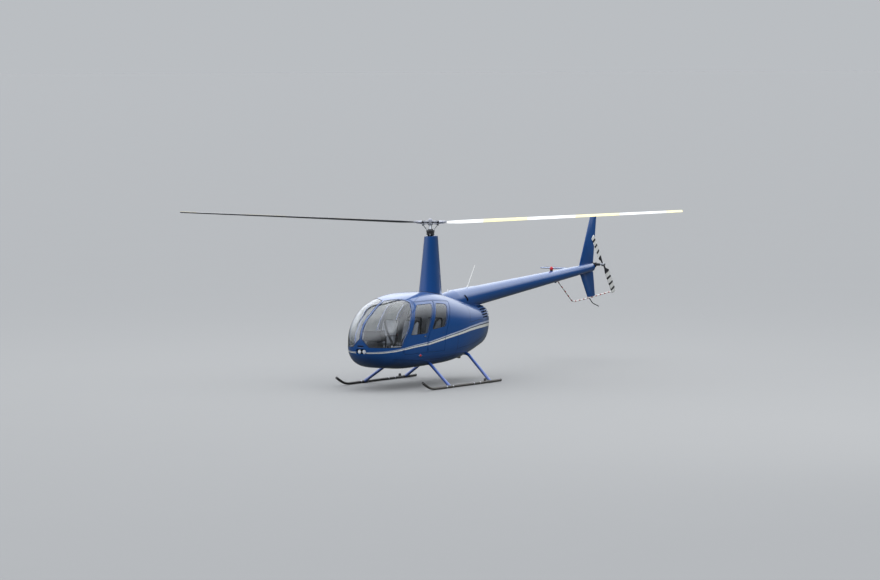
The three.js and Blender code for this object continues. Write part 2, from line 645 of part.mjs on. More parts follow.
const STABILISER = { root: -60, tip: -1070, z: 1990, front: -5450, rear: -5850, half: 19 };
const stabiliserOutline = [
  [STABILISER.rear, STABILISER.z - 6], [STABILISER.front - 60, STABILISER.z - STABILISER.half],
  [STABILISER.front, STABILISER.z - 4], [STABILISER.front, STABILISER.z + 4],
  [STABILISER.front - 60, STABILISER.z + STABILISER.half], [STABILISER.rear, STABILISER.z + 6],
];
const stabiliser = prism('side', stabiliserOutline, STABILISER.tip, STABILISER.root);
piece('horizontal_stabiliser', cut(stabiliser, boomCone(BOOM.front, BOOM.end - 200, SEAT),
  block(-6200, -5300, FIN.y - FIN.half - SEAT, 100, 1800, 2300)), 'paint');

// Tail gearbox on the boom's end, with the output housing that carries the tail rotor's shaft
const [hubX, hubY, hubZ] = TAIL_HUB;
const GEARBOX = { x0: BOOM.end - SEAT, x1: -5965, r: 62, housing: 182, shaft: 15, bore: 15.8 };
const boxZ = 2046;
const gearcase = rod([GEARBOX.x0, 0, boxZ], [GEARBOX.x1, 0, boxZ], GEARBOX.r, GEARBOX.r - 8, 20);
const housing = rod([hubX, 0, hubZ - 12], [hubX, GEARBOX.housing, hubZ], 34, 28, 20);
const outputWay = rod([hubX, 110, hubZ], [hubX, 300, hubZ], GEARBOX.bore, GEARBOX.bore, 24);
const gearbox = cut(join(gearcase, housing), outputWay, boomCone(BOOM.front, BOOM.end - SEAT, SEAT),
  block(-6100, -5700, -300, FIN.y + FIN.half + 12, 1900, 2200));
piece('tail_gearbox', gearbox, 'black');

// Tail rotor: shaft, hub and two blades
const tailHub = rod([hubX, hubY - 32, hubZ], [hubX, hubY + 40, hubZ], 38, 30, 20);
const tailShaft = rod([hubX, 116, hubZ], [hubX, hubY, hubZ], GEARBOX.shaft, GEARBOX.shaft, 24);
const TAIL_BLADE = [[30, 46, 0], [120, 60, 4], [190, TAIL_CHORD, 10], [TAIL_RADIUS, TAIL_CHORD, 6]];
const tailShape = loft(TAIL_BLADE.map((row) => bladeRing(...row)));
const tailBlades = [0, 180].map((half) => {
  // the blade lies along +X with its thickness along Z: lay the disc upright, facing port
  const upright = new THREE.Matrix4().makeRotationX(-90 * DEG);
  const swing = new THREE.Matrix4().makeRotationY(-(TAIL_BLADE_ANGLE + half) * DEG);
  const place = new THREE.Matrix4().makeTranslation(hubX, hubY, hubZ);
  return moved(tailShape, place.multiply(swing).multiply(upright));
});
piece('tail_rotor', join(tailHub, tailShaft, ...tailBlades), 'black');

// Tail rotor guard from the boom's underside past the lower fin's tip, and the bent tail skid
const GUARD_R = 12;
const finTip = [-5860, FIN.y, 1374 - GUARD_R];
const guardLine = [[-4480, 0, boomZ(-4480) - 60], [-5160, -36, 1312], [finTip[0], finTip[1], finTip[2] - 1.5],
  [-6690, FIN.y, 1449]];
const guard = bentRod(guardLine, GUARD_R, 70, 22, 6);
const guardSeat = cut(guard, boomCone(BOOM.front, BOOM.end, SEAT, 28), prism('side',
  shrink(FINS.fin_lower, -SEAT), FIN.y - FIN.half - SEAT, FIN.y + FIN.half + SEAT));
piece('tail_rotor_guard', guardSeat, 'white');
const skidLine = [[-5840, FIN.y, 1352], [-5960, FIN.y, 1240], [-6200, FIN.y, 1158]];
const aroundGuard = bentRod(guardLine, GUARD_R + SEAT, 70, 22, 6);
piece('tail_skid', cut(bentRod(skidLine, 10, 50, 10, 8), aroundGuard), 'black');

// Beacon and whip aerial on top
const BEACON = { x: -4310, r: 36, top: 2105 };
const beaconZ = boomZ(BEACON.x) + boomRadius(BEACON.x);
const beaconFoot = rod([BEACON.x, 0, beaconZ - 30], [BEACON.x, 0, beaconZ + 22], 30, 30, 16);
const beaconDome = solid(new THREE.SphereGeometry(BEACON.r, 16, 8).scale(1, 1, 1.25)
  .translate(BEACON.x, 0, BEACON.top - BEACON.r * 1.25));
piece('beacon', cut(join(beaconFoot, beaconDome), boomCone(BOOM.front, BOOM.end, SEAT, 28)), 'red');
const AERIAL = [[-1227, 0, 1790], [-1273, 0, 1864], [-1528, 0, 2269]];
const aerial = join(rod(AERIAL[0], AERIAL[2], 7, 4, 8), rod(AERIAL[0], AERIAL[1], 20, 12, 12));
piece('whip_aerial', cut(aerial, boomCone(FAIRING.front, FAIRING.rear, FAIRING.extra + SEAT)), 'white');

// Skids with their wear shoes and ground-wheel brackets, and the cross tubes that carry the pod
const SHOES = [840, -80];
for (const [label, side] of SIDES) {
  const y = side * SKID_TRACK;
  const line = [[-920, y, SKID_R + 4], [1470, y, SKID_R + 4], [1740, y, 172]];
  const tube = bentRod(line, SKID_R, 150, 16, 10);
  const shoes = SHOES.map((x) => block(x - 140, x + 140, y - 16, y + 16, 0, 14));
  const bracket = block(-410, -330, y - 9, y + 9, SKID_R + 20, SKID_R + 78);
  piece(`skid_${label}`, cut(join(tube, ...shoes, bracket), ...tubeHoles), 'black');
}
for (const tube of CROSS_TUBES) piece(tube.name, crossTube(tube, 0), 'paint');

// The origin: middle of the machine's box, on the ground
const reach = new THREE.Box3().setFromObject(helicopter);
const middle = reach.getCenter(new THREE.Vector3());
helicopter.position.set(-middle.x, -middle.y, -reach.min.z);

export default helicopter;
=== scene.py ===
"""The looks of a light four-seat helicopter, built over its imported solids.

Lengths are in metres. Every size is laid out from the point on the ground below the main rotor mast, with
x towards the nose, y to port and z up. Machine.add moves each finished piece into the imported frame.
"""

from __future__ import annotations

import json
import logging
import math
from collections.abc import Callable, Iterable, Sequence
from dataclasses import dataclass, field, replace
from enum import Enum

import bmesh
import bpy
import numpy as np
from mathutils import Matrix, Vector
from mathutils.bvhtree import BVHTree
from mathutils.geometry import delaunay_2d_cdt

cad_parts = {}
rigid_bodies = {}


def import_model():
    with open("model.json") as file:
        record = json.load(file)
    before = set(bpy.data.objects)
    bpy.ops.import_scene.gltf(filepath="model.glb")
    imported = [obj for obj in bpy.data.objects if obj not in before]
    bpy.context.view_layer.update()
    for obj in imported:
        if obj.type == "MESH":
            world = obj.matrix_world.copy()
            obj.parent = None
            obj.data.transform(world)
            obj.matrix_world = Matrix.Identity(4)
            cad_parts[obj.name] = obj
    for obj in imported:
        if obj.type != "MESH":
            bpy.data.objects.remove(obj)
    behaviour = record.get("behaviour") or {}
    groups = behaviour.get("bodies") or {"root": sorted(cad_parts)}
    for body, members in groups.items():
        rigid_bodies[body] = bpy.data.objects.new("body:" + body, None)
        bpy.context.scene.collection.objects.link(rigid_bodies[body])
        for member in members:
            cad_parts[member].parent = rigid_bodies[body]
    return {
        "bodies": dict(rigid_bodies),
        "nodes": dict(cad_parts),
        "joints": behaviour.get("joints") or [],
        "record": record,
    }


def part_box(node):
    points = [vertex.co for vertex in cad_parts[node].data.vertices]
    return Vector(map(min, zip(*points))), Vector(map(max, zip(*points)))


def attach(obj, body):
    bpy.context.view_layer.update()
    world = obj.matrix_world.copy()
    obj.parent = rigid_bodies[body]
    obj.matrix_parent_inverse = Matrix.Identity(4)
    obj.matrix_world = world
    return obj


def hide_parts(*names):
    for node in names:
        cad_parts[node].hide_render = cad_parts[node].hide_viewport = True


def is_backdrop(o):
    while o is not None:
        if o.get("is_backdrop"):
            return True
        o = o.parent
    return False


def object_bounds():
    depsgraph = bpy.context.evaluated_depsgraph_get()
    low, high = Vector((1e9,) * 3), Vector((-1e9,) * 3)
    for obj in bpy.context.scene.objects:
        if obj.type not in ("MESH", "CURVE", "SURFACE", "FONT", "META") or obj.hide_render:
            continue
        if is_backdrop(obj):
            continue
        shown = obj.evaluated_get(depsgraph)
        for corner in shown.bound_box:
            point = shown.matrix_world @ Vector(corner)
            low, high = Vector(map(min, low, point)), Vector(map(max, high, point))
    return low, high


log = logging.getLogger("helicopter")
Colour = tuple[float, float, float]
Place = Sequence[float] | np.ndarray  # a point or a direction
Points = Sequence[Place] | np.ndarray  # one point in each row
Amount = float | Place  # one number, or one for each item
Marks = int | Sequence[int] | np.ndarray  # one finish number, or one for each face
Value = float | tuple | bpy.types.NodeSocket  # what a node's input takes
Sockets = bpy.types.bpy_prop_collection
SIDES = (("port", 1), ("starboard", -1))
ORIGIN = (0, 0, 0)
AHEAD, PORT, UP = (1, 0, 0), (0, 1, 0), (0, 0, 1)
STUD_SIDES = 6
BLADE_COLUMNS = 32
PILLOW_ROWS, PILLOW_COLUMNS = 23, 80
CLOTH_FRAMES = 20
FRONT_PART = 1.0  # the windshield and the nose lamps lie ahead of this x
SPREADER = 1_000_003  # parts the rows of a numbered grid of cells


# Forms: points and faces before they become a mesh


@dataclass
class Form:
    """A surface as arrays of points, triangles and quads, with the number of each face's finish."""

    points: np.ndarray
    triangles: np.ndarray
    quads: np.ndarray
    triangle_finish: np.ndarray
    quad_finish: np.ndarray

    @classmethod
    def of(cls, points: np.ndarray, triangles: np.ndarray | None = None, quads: np.ndarray | None = None,
           finish: Marks = 0) -> Form:
        """Makes a form whose faces share one finish, or have one each.

        Args:
            points: The corners, one row each.
            triangles: Faces of three corners, or None.
            quads: Faces of four corners, or None.
            finish: One number, or one for each face where only one kind of face is given.

        Returns:
            The form.
        """
        threes = np.zeros((0, 3), int) if triangles is None else np.asarray(triangles, int).reshape(-1, 3)
        fours = np.zeros((0, 4), int) if quads is None else np.asarray(quads, int).reshape(-1, 4)
        three_finish = np.zeros(0, int) if not len(threes) else np.broadcast_to(finish, len(threes)).astype(int)
        four_finish = np.zeros(0, int) if not len(fours) else np.broadcast_to(finish, len(fours)).astype(int)
        return cls(np.asarray(points, float).reshape(-1, 3), threes, fours, three_finish, four_finish)

    def faces(self) -> list[list[int]]:
        """Returns every face's corners."""
        return self.triangles.tolist() + self.quads.tolist()

    def tree(self) -> BVHTree:
        """Returns a tree that finds the nearest place of the form."""
        return BVHTree.FromPolygons(self.points.tolist(), self.faces())

    def moved(self, matrix: np.ndarray) -> Form:
        """Returns the form with a 4 by 4 matrix applied to its points."""
        return replace(self, points=self.points @ matrix[:3, :3].T + matrix[:3, 3])

    def shifted(self, x: float = 0, y: float = 0, z: float = 0) -> Form:
        """Returns the form moved by a vector."""
        return replace(self, points=self.points + [x, y, z])

    def mirrored(self) -> Form:
        """Returns the form's image on the other side of the machine, with its faces turned back outwards."""
        return replace(self, points=self.points * [1, -1, 1], triangles=self.triangles[:, ::-1],
                       quads=self.quads[:, ::-1])

    def on_side(self, side: int) -> Form:
        """Returns the form for a side of the machine: 1 for port, -1 for starboard."""
        return self if side > 0 else self.mirrored()

    def painted(self, finish: int) -> Form:
        """Returns the form with one finish all over."""
        return Form.of(self.points, self.triangles, self.quads, finish)


def join(*forms: Form | Iterable[Form]) -> Form:
    """Returns several forms as one.

    Args:
        *forms: Forms, or lists of them.

    Returns:
        One form.
    """
    flat = [f for form in forms for f in ([form] if isinstance(form, Form) else form)]
    starts = np.cumsum([0] + [len(f.points) for f in flat[:-1]])
    return Form(
        np.concatenate([f.points for f in flat]),
        np.concatenate([f.triangles + start for f, start in zip(flat, starts)]),
        np.concatenate([f.quads + start for f, start in zip(flat, starts)]),
        np.concatenate([f.triangle_finish for f in flat]),
        np.concatenate([f.quad_finish for f in flat]),
    )


def mirror_pair(form: Form) -> Form:
    """Returns a form with its image on the other side."""
    return join(form, form.mirrored())


def grid(points: np.ndarray, around: bool = False, finish: Marks = 0) -> Form:
    """A surface through a grid of points, rows by columns by 3.

    Args:
        points: The grid. Faces look along the cross product of the column step and the row step.
        around: Whether the last column joins the first.
        finish: One number, or an array that broadcasts to rows less one by columns of faces.

    Returns:
        The surface as quads.
    """
    rows, columns = points.shape[:2]
    index = np.arange(rows * columns).reshape(rows, columns)
    if around:
        index = np.concatenate([index, index[:, :1]], 1)
    quads = np.stack([index[:-1, :-1], index[:-1, 1:], index[1:, 1:], index[1:, :-1]], -1)
    finishes = np.broadcast_to(finish, quads.shape[:2]).reshape(-1)
    return Form.of(points, quads=quads, finish=finishes)


def disc(ring: np.ndarray, finish: int = 0, turned: bool = False) -> Form:
    """A cap over a closed ring of points: triangles from its middle to each edge.

    Args:
        ring: The closed ring.
        finish: The number of its finish.
        turned: Whether it looks the other way.

    Returns:
        The cap.
    """
    count = len(ring)
    k = np.arange(count)
    faces = np.stack([np.full(count, count), k, (k + 1) % count], 1)
    points = np.concatenate([ring, ring.mean(0, keepdims=True)])
    return Form.of(points, triangles=faces[:, ::-1] if turned else faces, finish=finish)


def unit(vectors: np.ndarray) -> np.ndarray:
    """Returns vectors scaled to length one; a zero vector stays zero."""
    size = np.linalg.norm(vectors, axis=-1, keepdims=True)
    return vectors / np.where(size > 1e-12, size, 1)


def circle(sides: int, radius: float = 1.0, flat: float = 1.0) -> np.ndarray:
    """Points of a circle, or of an ellipse whose height is flat times its width."""
    turn = 2 * np.pi * np.arange(sides) / sides
    return radius * np.stack([np.cos(turn), flat * np.sin(turn)], 1)


def sweep(path: Points, profile: np.ndarray, size: Amount = 1.0, side: Points = UP, loop: bool = False,
          finish: Marks = 0) -> Form:
    """A closed profile carried along a path: point = path + size (a across + b up).

    Args:
        path: The path's points.
        profile: The profile's points (a, b), anticlockwise.
        size: One number, or one for each point of the path.
        side: A direction that the path never follows; up stays as near to it as it can.
        loop: Whether the path's end joins its start; otherwise both ends are capped.
        finish: One number, or one for each run between two points of the path.

    Returns:
        The swept form.
    """
    path = np.asarray(path, float)
    ahead = np.roll(path, -1, 0) - np.roll(path, 1, 0) if loop else np.gradient(path, axis=0)
    ahead = unit(ahead)
    across = unit(np.cross(np.broadcast_to(side, ahead.shape), ahead))
    up = np.cross(ahead, across)
    scale = np.broadcast_to(size, len(path))[:, None, None]
    rings = path[:, None] + scale * (profile[None, :, :1] * across[:, None] + profile[None, :, 1:] * up[:, None])
    finishes = np.asarray(finish)
    if loop:
        rings = np.concatenate([rings, rings[:1]])
    body = grid(rings, around=True, finish=finishes[:, None] if finishes.ndim else finishes)
    if loop:
        return body
    first, last = (int(finishes[0]), int(finishes[-1])) if finishes.ndim else (int(finishes),) * 2
    return join(body, disc(rings[0], first, turned=True), disc(rings[-1], last))


def tube(path: Points, radius: Amount, sides: int = 16, side: Points = UP, loop: bool = False,
         finish: Marks = 0) -> Form:
    """A round bar along a path, with one radius or one for each point."""
    return sweep(path, circle(sides), radius, side, loop, finish)


def beside(way: np.ndarray) -> tuple:
    """Returns a plain axis that a direction doesn't follow."""
    return AHEAD if abs(way[2]) > 0.8 else UP


def rod(start: Place, end: Place, radius: Amount, sides: int = 20, finish: Marks = 0) -> Form:
    """A straight round bar, or a cone where radius is a pair.

    Args:
        start: One end's middle.
        end: The other end's middle.
        radius: One radius, or one for each end.
        sides: Faces round the bar.
        finish: The number of its finish.

    Returns:
        The bar.
    """
    path = np.array([start, end], float)
    along = unit(path[1] - path[0])
    return tube(path, radius, sides, beside(along), finish=finish)


def lathe(profile: Points, start: Place = ORIGIN, axis: Place = UP, sides: int = 32, finish: Marks = 0) -> Form:
    """A profile turned round an axis: each point (along, radius) becomes a ring.

    Args:
        profile: Points (along, radius), from one end to the other.
        start: Where along is zero.
        axis: The axis' direction.
        sides: Faces round the axis.
        finish: One number, or one for each run of the profile.

    Returns:
        The turned form, capped where its ends have a radius.
    """
    profile = np.asarray(profile, float)
    ahead = unit(np.asarray(axis, float))
    across = unit(np.cross(beside(ahead), ahead))
    up = np.cross(ahead, across)
    ring = circle(sides)
    round_ring = ring[:, :1] * across + ring[:, 1:] * up
    rings = np.asarray(start, float) + profile[:, None, :1] * ahead + profile[:, None, 1:] * round_ring
    finishes = np.asarray(finish)
    parts = [grid(rings, around=True, finish=finishes[:, None] if finishes.ndim else finishes)]
    if profile[0, 1] > 1e-6:
        parts.append(disc(rings[0], int(finishes.flat[0]), turned=True))
    if profile[-1, 1] > 1e-6:
        parts.append(disc(rings[-1], int(finishes.flat[-1])))
    return join(parts)


def shrink(outline: np.ndarray, distances: Amount) -> np.ndarray:
    """An anticlockwise outline with each edge moved inwards by its distance.

    Each new corner is where its two moved edges cross: n1 . p = c1 and n2 . p = c2.

    Args:
        outline: The corners.
        distances: One distance, or one for each edge from its corner to the next.

    Returns:
        The moved corners.
    """
    outline = np.asarray(outline, float)
    step = np.roll(outline, -1, 0) - outline
    normal = unit(np.stack([-step[:, 1], step[:, 0]], 1))
    level = (normal * outline).sum(1) + distances
    before, before_level = np.roll(normal, 1, 0), np.roll(level, 1)
    det = before[:, 0] * normal[:, 1] - before[:, 1] * normal[:, 0]
    straight = np.abs(det) < 1e-6
    det = np.where(straight, 1, det)
    x = (before_level * normal[:, 1] - level * before[:, 1]) / det
    y = (before[:, 0] * level - normal[:, 0] * before_level) / det
    moved = outline + normal * np.broadcast_to(distances, len(outline))[:, None]
    return np.where(straight[:, None], moved, np.stack([x, y], 1))


def curves(start: np.ndarray, corner: np.ndarray, end: np.ndarray, steps: int) -> np.ndarray:
    """Returns quadratic curves from start to end by way of each corner, one after another.

    Args:
        start: Where each curve starts.
        corner: The corners that pull the curves.
        end: Where each curve ends.
        steps: Runs in each curve.

    Returns:
        The points.
    """
    t = np.linspace(0, 1, steps + 1)[None, :, None]
    curve = (1 - t) ** 2 * start[:, None] + 2 * t * (1 - t) * corner[:, None] + t**2 * end[:, None]
    return curve.reshape(-1, start.shape[1])


def round_corners(outline: Points, radius: float, steps: int = 5) -> np.ndarray:
    """An outline whose corners are quadratic curves that start radius before each corner.

    Args:
        outline: The corners.
        radius: How far from its corner each curve starts, where there is room.
        steps: Runs in each curve.

    Returns:
        The rounded outline.
    """
    p = np.asarray(outline, float)
    before, after = np.roll(p, 1, 0) - p, np.roll(p, -1, 0) - p
    room = 0.45 * np.minimum(np.linalg.norm(before, axis=1), np.linalg.norm(after, axis=1))
    reach = np.minimum(radius, room)[:, None]
    return curves(p + unit(before) * reach, p, p + unit(after) * reach, steps)


def bent_path(corners: Points, bend: float, steps: int = 8) -> np.ndarray:
    """A path of straight runs whose corners are quadratic curves that start bend before each corner.

    Args:
        corners: The path's ends and corners.
        bend: How far from its corner each curve starts.
        steps: Runs in each curve.

    Returns:
        The path.
    """
    p = np.asarray(corners, float)
    inner = p[1:-1]
    start, end = inner + unit(p[:-2] - inner) * bend, inner + unit(p[2:] - inner) * bend
    return np.concatenate([p[:1], curves(start, inner, end, steps), p[-1:]])


def spaced(path: np.ndarray, step: float, loop: bool = False) -> np.ndarray:
    """Points at equal steps of length along a path.

    Args:
        path: The path.
        step: About how far apart the points lie.
        loop: Whether the end joins the start.

    Returns:
        The points.
    """
    line = np.concatenate([path, path[:1]]) if loop else path
    length = np.concatenate([[0], np.cumsum(np.linalg.norm(np.diff(line, axis=0), axis=1))])
    count = max(2, round(length[-1] / step) + 1)
    at = np.linspace(0, length[-1], count)[: -1 if loop else None]
    return np.stack([np.interp(at, length, line[:, k]) for k in range(line.shape[1])], 1)


class View(Enum):
    """A drawing view: the two axes that an outline is drawn on, and the third."""

    SIDE = (0, 2, 1)
    TOP = (0, 1, 2)
    FRONT = (1, 2, 0)


def rectangle(x0: float, y0: float, x1: float, y1: float) -> np.ndarray:
    """Returns the corners of a rectangle, from (x0, y0) by way of (x1, y0)."""
    return np.array([(x0, y0), (x1, y0), (x1, y1), (x0, y1)], float)


def anticlockwise(outline: Points) -> np.ndarray:
    """Returns an outline with its corners in anticlockwise order.

    Args:
        outline: The corners in either order.

    Returns:
        The corners.
    """
    outline = np.asarray(outline, float)
    after = np.roll(outline, -1, 0)
    area = np.sum(outline[:, 0] * after[:, 1] - after[:, 0] * outline[:, 1])
    return outline if area > 0 else outline[::-1]


def ring_of(view: View, centre: Place, count: int, radius: float) -> np.ndarray:
    """Returns points evenly round a circle that is drawn in a view.

    Args:
        view: The view that shows the circle.
        centre: Its middle.
        count: How many points it has.
        radius: Its radius.

    Returns:
        The points.
    """
    points = np.tile(np.asarray(centre, float), (count, 1))
    points[:, view.value[:2]] += circle(count, radius)
    return points


def fill(outline: np.ndarray) -> np.ndarray:
    """Triangles over a closed outline, by a constrained triangulation of its points.

    Args:
        outline: The corners.

    Returns:
        The triangles, by the numbers of their corners.
    """
    count = len(outline)
    edges = [(k, (k + 1) % count) for k in range(count)]
    found = delaunay_2d_cdt(outline.tolist(), edges, [list(range(count))], 1, 1e-7, True)
    back = np.array([ids[0] for ids in found[3]])
    return back[np.array(found[2])]


def slab(view: View, outline: Points, low: float, high: float, bevel: float, finish: int = 0,
         corner: float = 0) -> Form:
    """A plate on an outline with softened edges: rings inset by bevel (1 - sin t) at depth bevel (1 - cos t).

    Args:
        view: The view in which the outline is drawn.
        outline: Its corners.
        low: Where the plate starts on the third axis.
        high: Where it ends.
        bevel: How far its edges are rounded.
        finish: The number of its finish.
        corner: How far the outline's corners are rounded.

    Returns:
        The closed plate.
    """
    outline = anticlockwise(round_corners(outline, corner) if corner else outline)
    turn = np.linspace(0, np.pi / 2, 3)
    insets, depths = bevel * (1 - np.sin(turn)), bevel * (1 - np.cos(turn))
    levels = np.concatenate([low + depths, (high - depths)[::-1]])
    rings = [shrink(outline, inset) for inset in (*insets, *insets[::-1])]
    points = np.zeros((len(levels), len(outline), 3))
    a, b, c = view.value
    points[..., a] = np.stack([r[:, 0] for r in rings])
    points[..., b] = np.stack([r[:, 1] for r in rings])
    points[..., c] = levels[:, None]
    faces = fill(rings[0])
    top = len(outline) * (len(levels) - 1)
    caps = Form.of(points.reshape(-1, 3), triangles=np.concatenate([faces[:, ::-1], faces + top]), finish=finish)
    return join(grid(points, around=True, finish=finish), caps)


def block(low: Place, high: Place, bevel: float = 0.002, corner: float = 0.004, finish: int = 0) -> Form:
    """A box between two corners with rounded upright edges and softened top and bottom."""
    (x0, y0, z0), (x1, y1, z1) = low, high
    return slab(View.TOP, round_corners(rectangle(x0, y0, x1, y1), corner, 3), z0, z1, bevel, finish)


def studs(points: Points, normals: Points, radius: float, height: float, finish: int = 0) -> Form:
    """Low domed heads, such as rivets and bolts, one at each point, with a direction each or one for all.

    Each head is a ring of radius r on the skin, a ring of 0.7 r near its top, and a middle point.

    Args:
        points: Where the heads stand.
        normals: Which way they look.
        radius: Their radius.
        height: How far they stand out.
        finish: The number of their finish.

    Returns:
        The heads.
    """
    points = np.asarray(points, float)
    normals = unit(np.broadcast_to(np.asarray(normals, float), points.shape))
    aside = np.where(np.abs(normals[:, 2:]) > 0.8, [AHEAD], [UP])
    across = unit(np.cross(aside, normals))
    up = np.cross(normals, across)
    ring = circle(STUD_SIDES, radius)
    flat = ring[None, :, :1] * across[:, None] + ring[None, :, 1:] * up[:, None]
    base, lift = points[:, None], height * normals[:, None]
    cells = np.concatenate([base + flat - 0.2 * lift, base + 0.7 * flat + 0.8 * lift, base + lift], 1)
    k = np.arange(STUD_SIDES)
    after = (k + 1) % STUD_SIDES
    wall = np.stack([k, after, after + STUD_SIDES, k + STUD_SIDES], 1)
    crown = np.stack([k + STUD_SIDES, after + STUD_SIDES, np.full(STUD_SIDES, 2 * STUD_SIDES)], 1)
    starts = np.arange(len(cells))[:, None, None] * cells.shape[1]
    return Form.of(cells, crown + starts, (wall + starts).reshape(-1, 4), finish)


def inside(outline: np.ndarray, a: np.ndarray, b: np.ndarray) -> np.ndarray:
    """Whether points (a, b) lie in a closed outline, by counting the edges that a level ray crosses.

    Args:
        outline: The corners.
        a: The points' first coordinates.
        b: Their second coordinates.

    Returns:
        True for each point that lies inside.
    """
    found = np.zeros(a.shape, bool)
    for (x0, y0), (x1, y1) in zip(outline, np.roll(outline, -1, 0)):
        if y0 != y1:
            crosses = (y0 > b) != (y1 > b)
            found ^= crosses & (a < (x1 - x0) * (b - y0) / (y1 - y0) + x0)
    return found


def frame_matrix(origin: Place, x_axis: Place, y_axis: Place, z_axis: Place) -> np.ndarray:
    """Returns the 4 by 4 matrix that takes the plain axes to the given ones at origin.

    Args:
        origin: Where the plain origin goes.
        x_axis: Where x points.
        y_axis: Where y points.
        z_axis: Where z points.

    Returns:
        The matrix.
    """
    matrix = np.eye(4)
    matrix[:3, 0], matrix[:3, 1], matrix[:3, 2], matrix[:3, 3] = x_axis, y_axis, z_axis, origin
    return matrix


def turned(axis: str, degrees: float) -> np.ndarray:
    """Returns the 4 by 4 matrix of a turn about a plain axis."""
    return np.array(Matrix.Rotation(math.radians(degrees), 4, axis))


# Finishes: shader groups that several materials share, and the materials


class Nodes:
    """A node tree being built, with short calls that add nodes and join them."""

    def __init__(self, tree: bpy.types.NodeTree) -> None:
        """Takes over a tree and empties it."""
        self.tree = tree
        tree.nodes.clear()

    def add(self, kind: str, settings: dict | None = None, **inputs: Value) -> bpy.types.Node:
        """Adds a node.

        Args:
            kind: The node's type without the leading ShaderNode, or NodeGroupInput and the like in full.
            settings: Properties of the node.
            **inputs: Values or sockets for its inputs, by name with _ for a space, or i and a number.

        Returns:
            The node.
        """
        node = self.tree.nodes.new(kind if kind.startswith("NodeGroup") else f"ShaderNode{kind}")
        for name, value in (settings or {}).items():
            setattr(node, name, value)
        for name, value in inputs.items():
            index = int(name[1:]) if name[0] == "i" and name[1:].isdigit() else name.replace("_", " ")
            self.put(node.inputs[index], value)
        return node

    def put(self, socket: bpy.types.NodeSocket, value: Value) -> None:
        """Joins a socket to another, or gives it a plain value.

        Args:
            socket: The input.
            value: A socket, a number, or a colour.
        """
        if isinstance(value, bpy.types.NodeSocket):
            self.tree.links.new(value, socket)
        elif isinstance(value, tuple) and socket.type == "RGBA":
            socket.default_value = (*value, 1) if len(value) == 3 else value
        else:
            socket.default_value = value

    def math(self, operation: str, *values: Value, clamp: bool = False) -> bpy.types.NodeSocket:
        """Adds a Math node and returns its result.

        Args:
            operation: The operation's name.
            *values: Numbers or sockets for its inputs.
            clamp: Whether the result stays between 0 and 1.

        Returns:
            The result.
        """
        node = self.tree.nodes.new("ShaderNodeMath")
        node.operation, node.use_clamp = operation, clamp
        for socket, value in zip(node.inputs, values):
            self.put(socket, value)
        return node.outputs[0]

    def mix(self, factor: Value, a: Value, b: Value) -> bpy.types.NodeSocket:
        """Adds a colour mix and returns its result.

        Args:
            factor: The share of b.
            a: The first colour.
            b: The second colour.

        Returns:
            The result.
        """
        node = self.tree.nodes.new("ShaderNodeMix")
        node.data_type = "RGBA"
        self.put(node.inputs[0], factor)
        self.put(node.inputs[6], a)
        self.put(node.inputs[7], b)
        return node.outputs[2]

    def noise(self, size: Value, detail: float = 3, stretch: Colour = (1, 1, 1)) -> bpy.types.NodeSocket:
        """Adds a noise of a grain size in metres on Object coordinates, from -1 to 1.

        Args:
            size: The grain size.
            detail: The octaves.
            stretch: The scale along each axis.

        Returns:
            The noise.
        """
        scale = self.math("DIVIDE", 1.0, size)
        value = self.add("TexNoise", Vector=self.place(stretch), Scale=scale, Detail=detail).outputs[0]
        return self.math("MULTIPLY_ADD", value, 2.0, -1.0)

    def place(self, stretch: Colour = (1, 1, 1)) -> bpy.types.NodeSocket:
        """Adds Object coordinates, scaled along each axis.

        Args:
            stretch: The scale along each axis.

        Returns:
            The coordinates.
        """
        place = self.add("TexCoord").outputs["Object"]
        if stretch == (1, 1, 1):
            return place
        return self.add("Mapping", Vector=place, Scale=stretch).outputs[0]


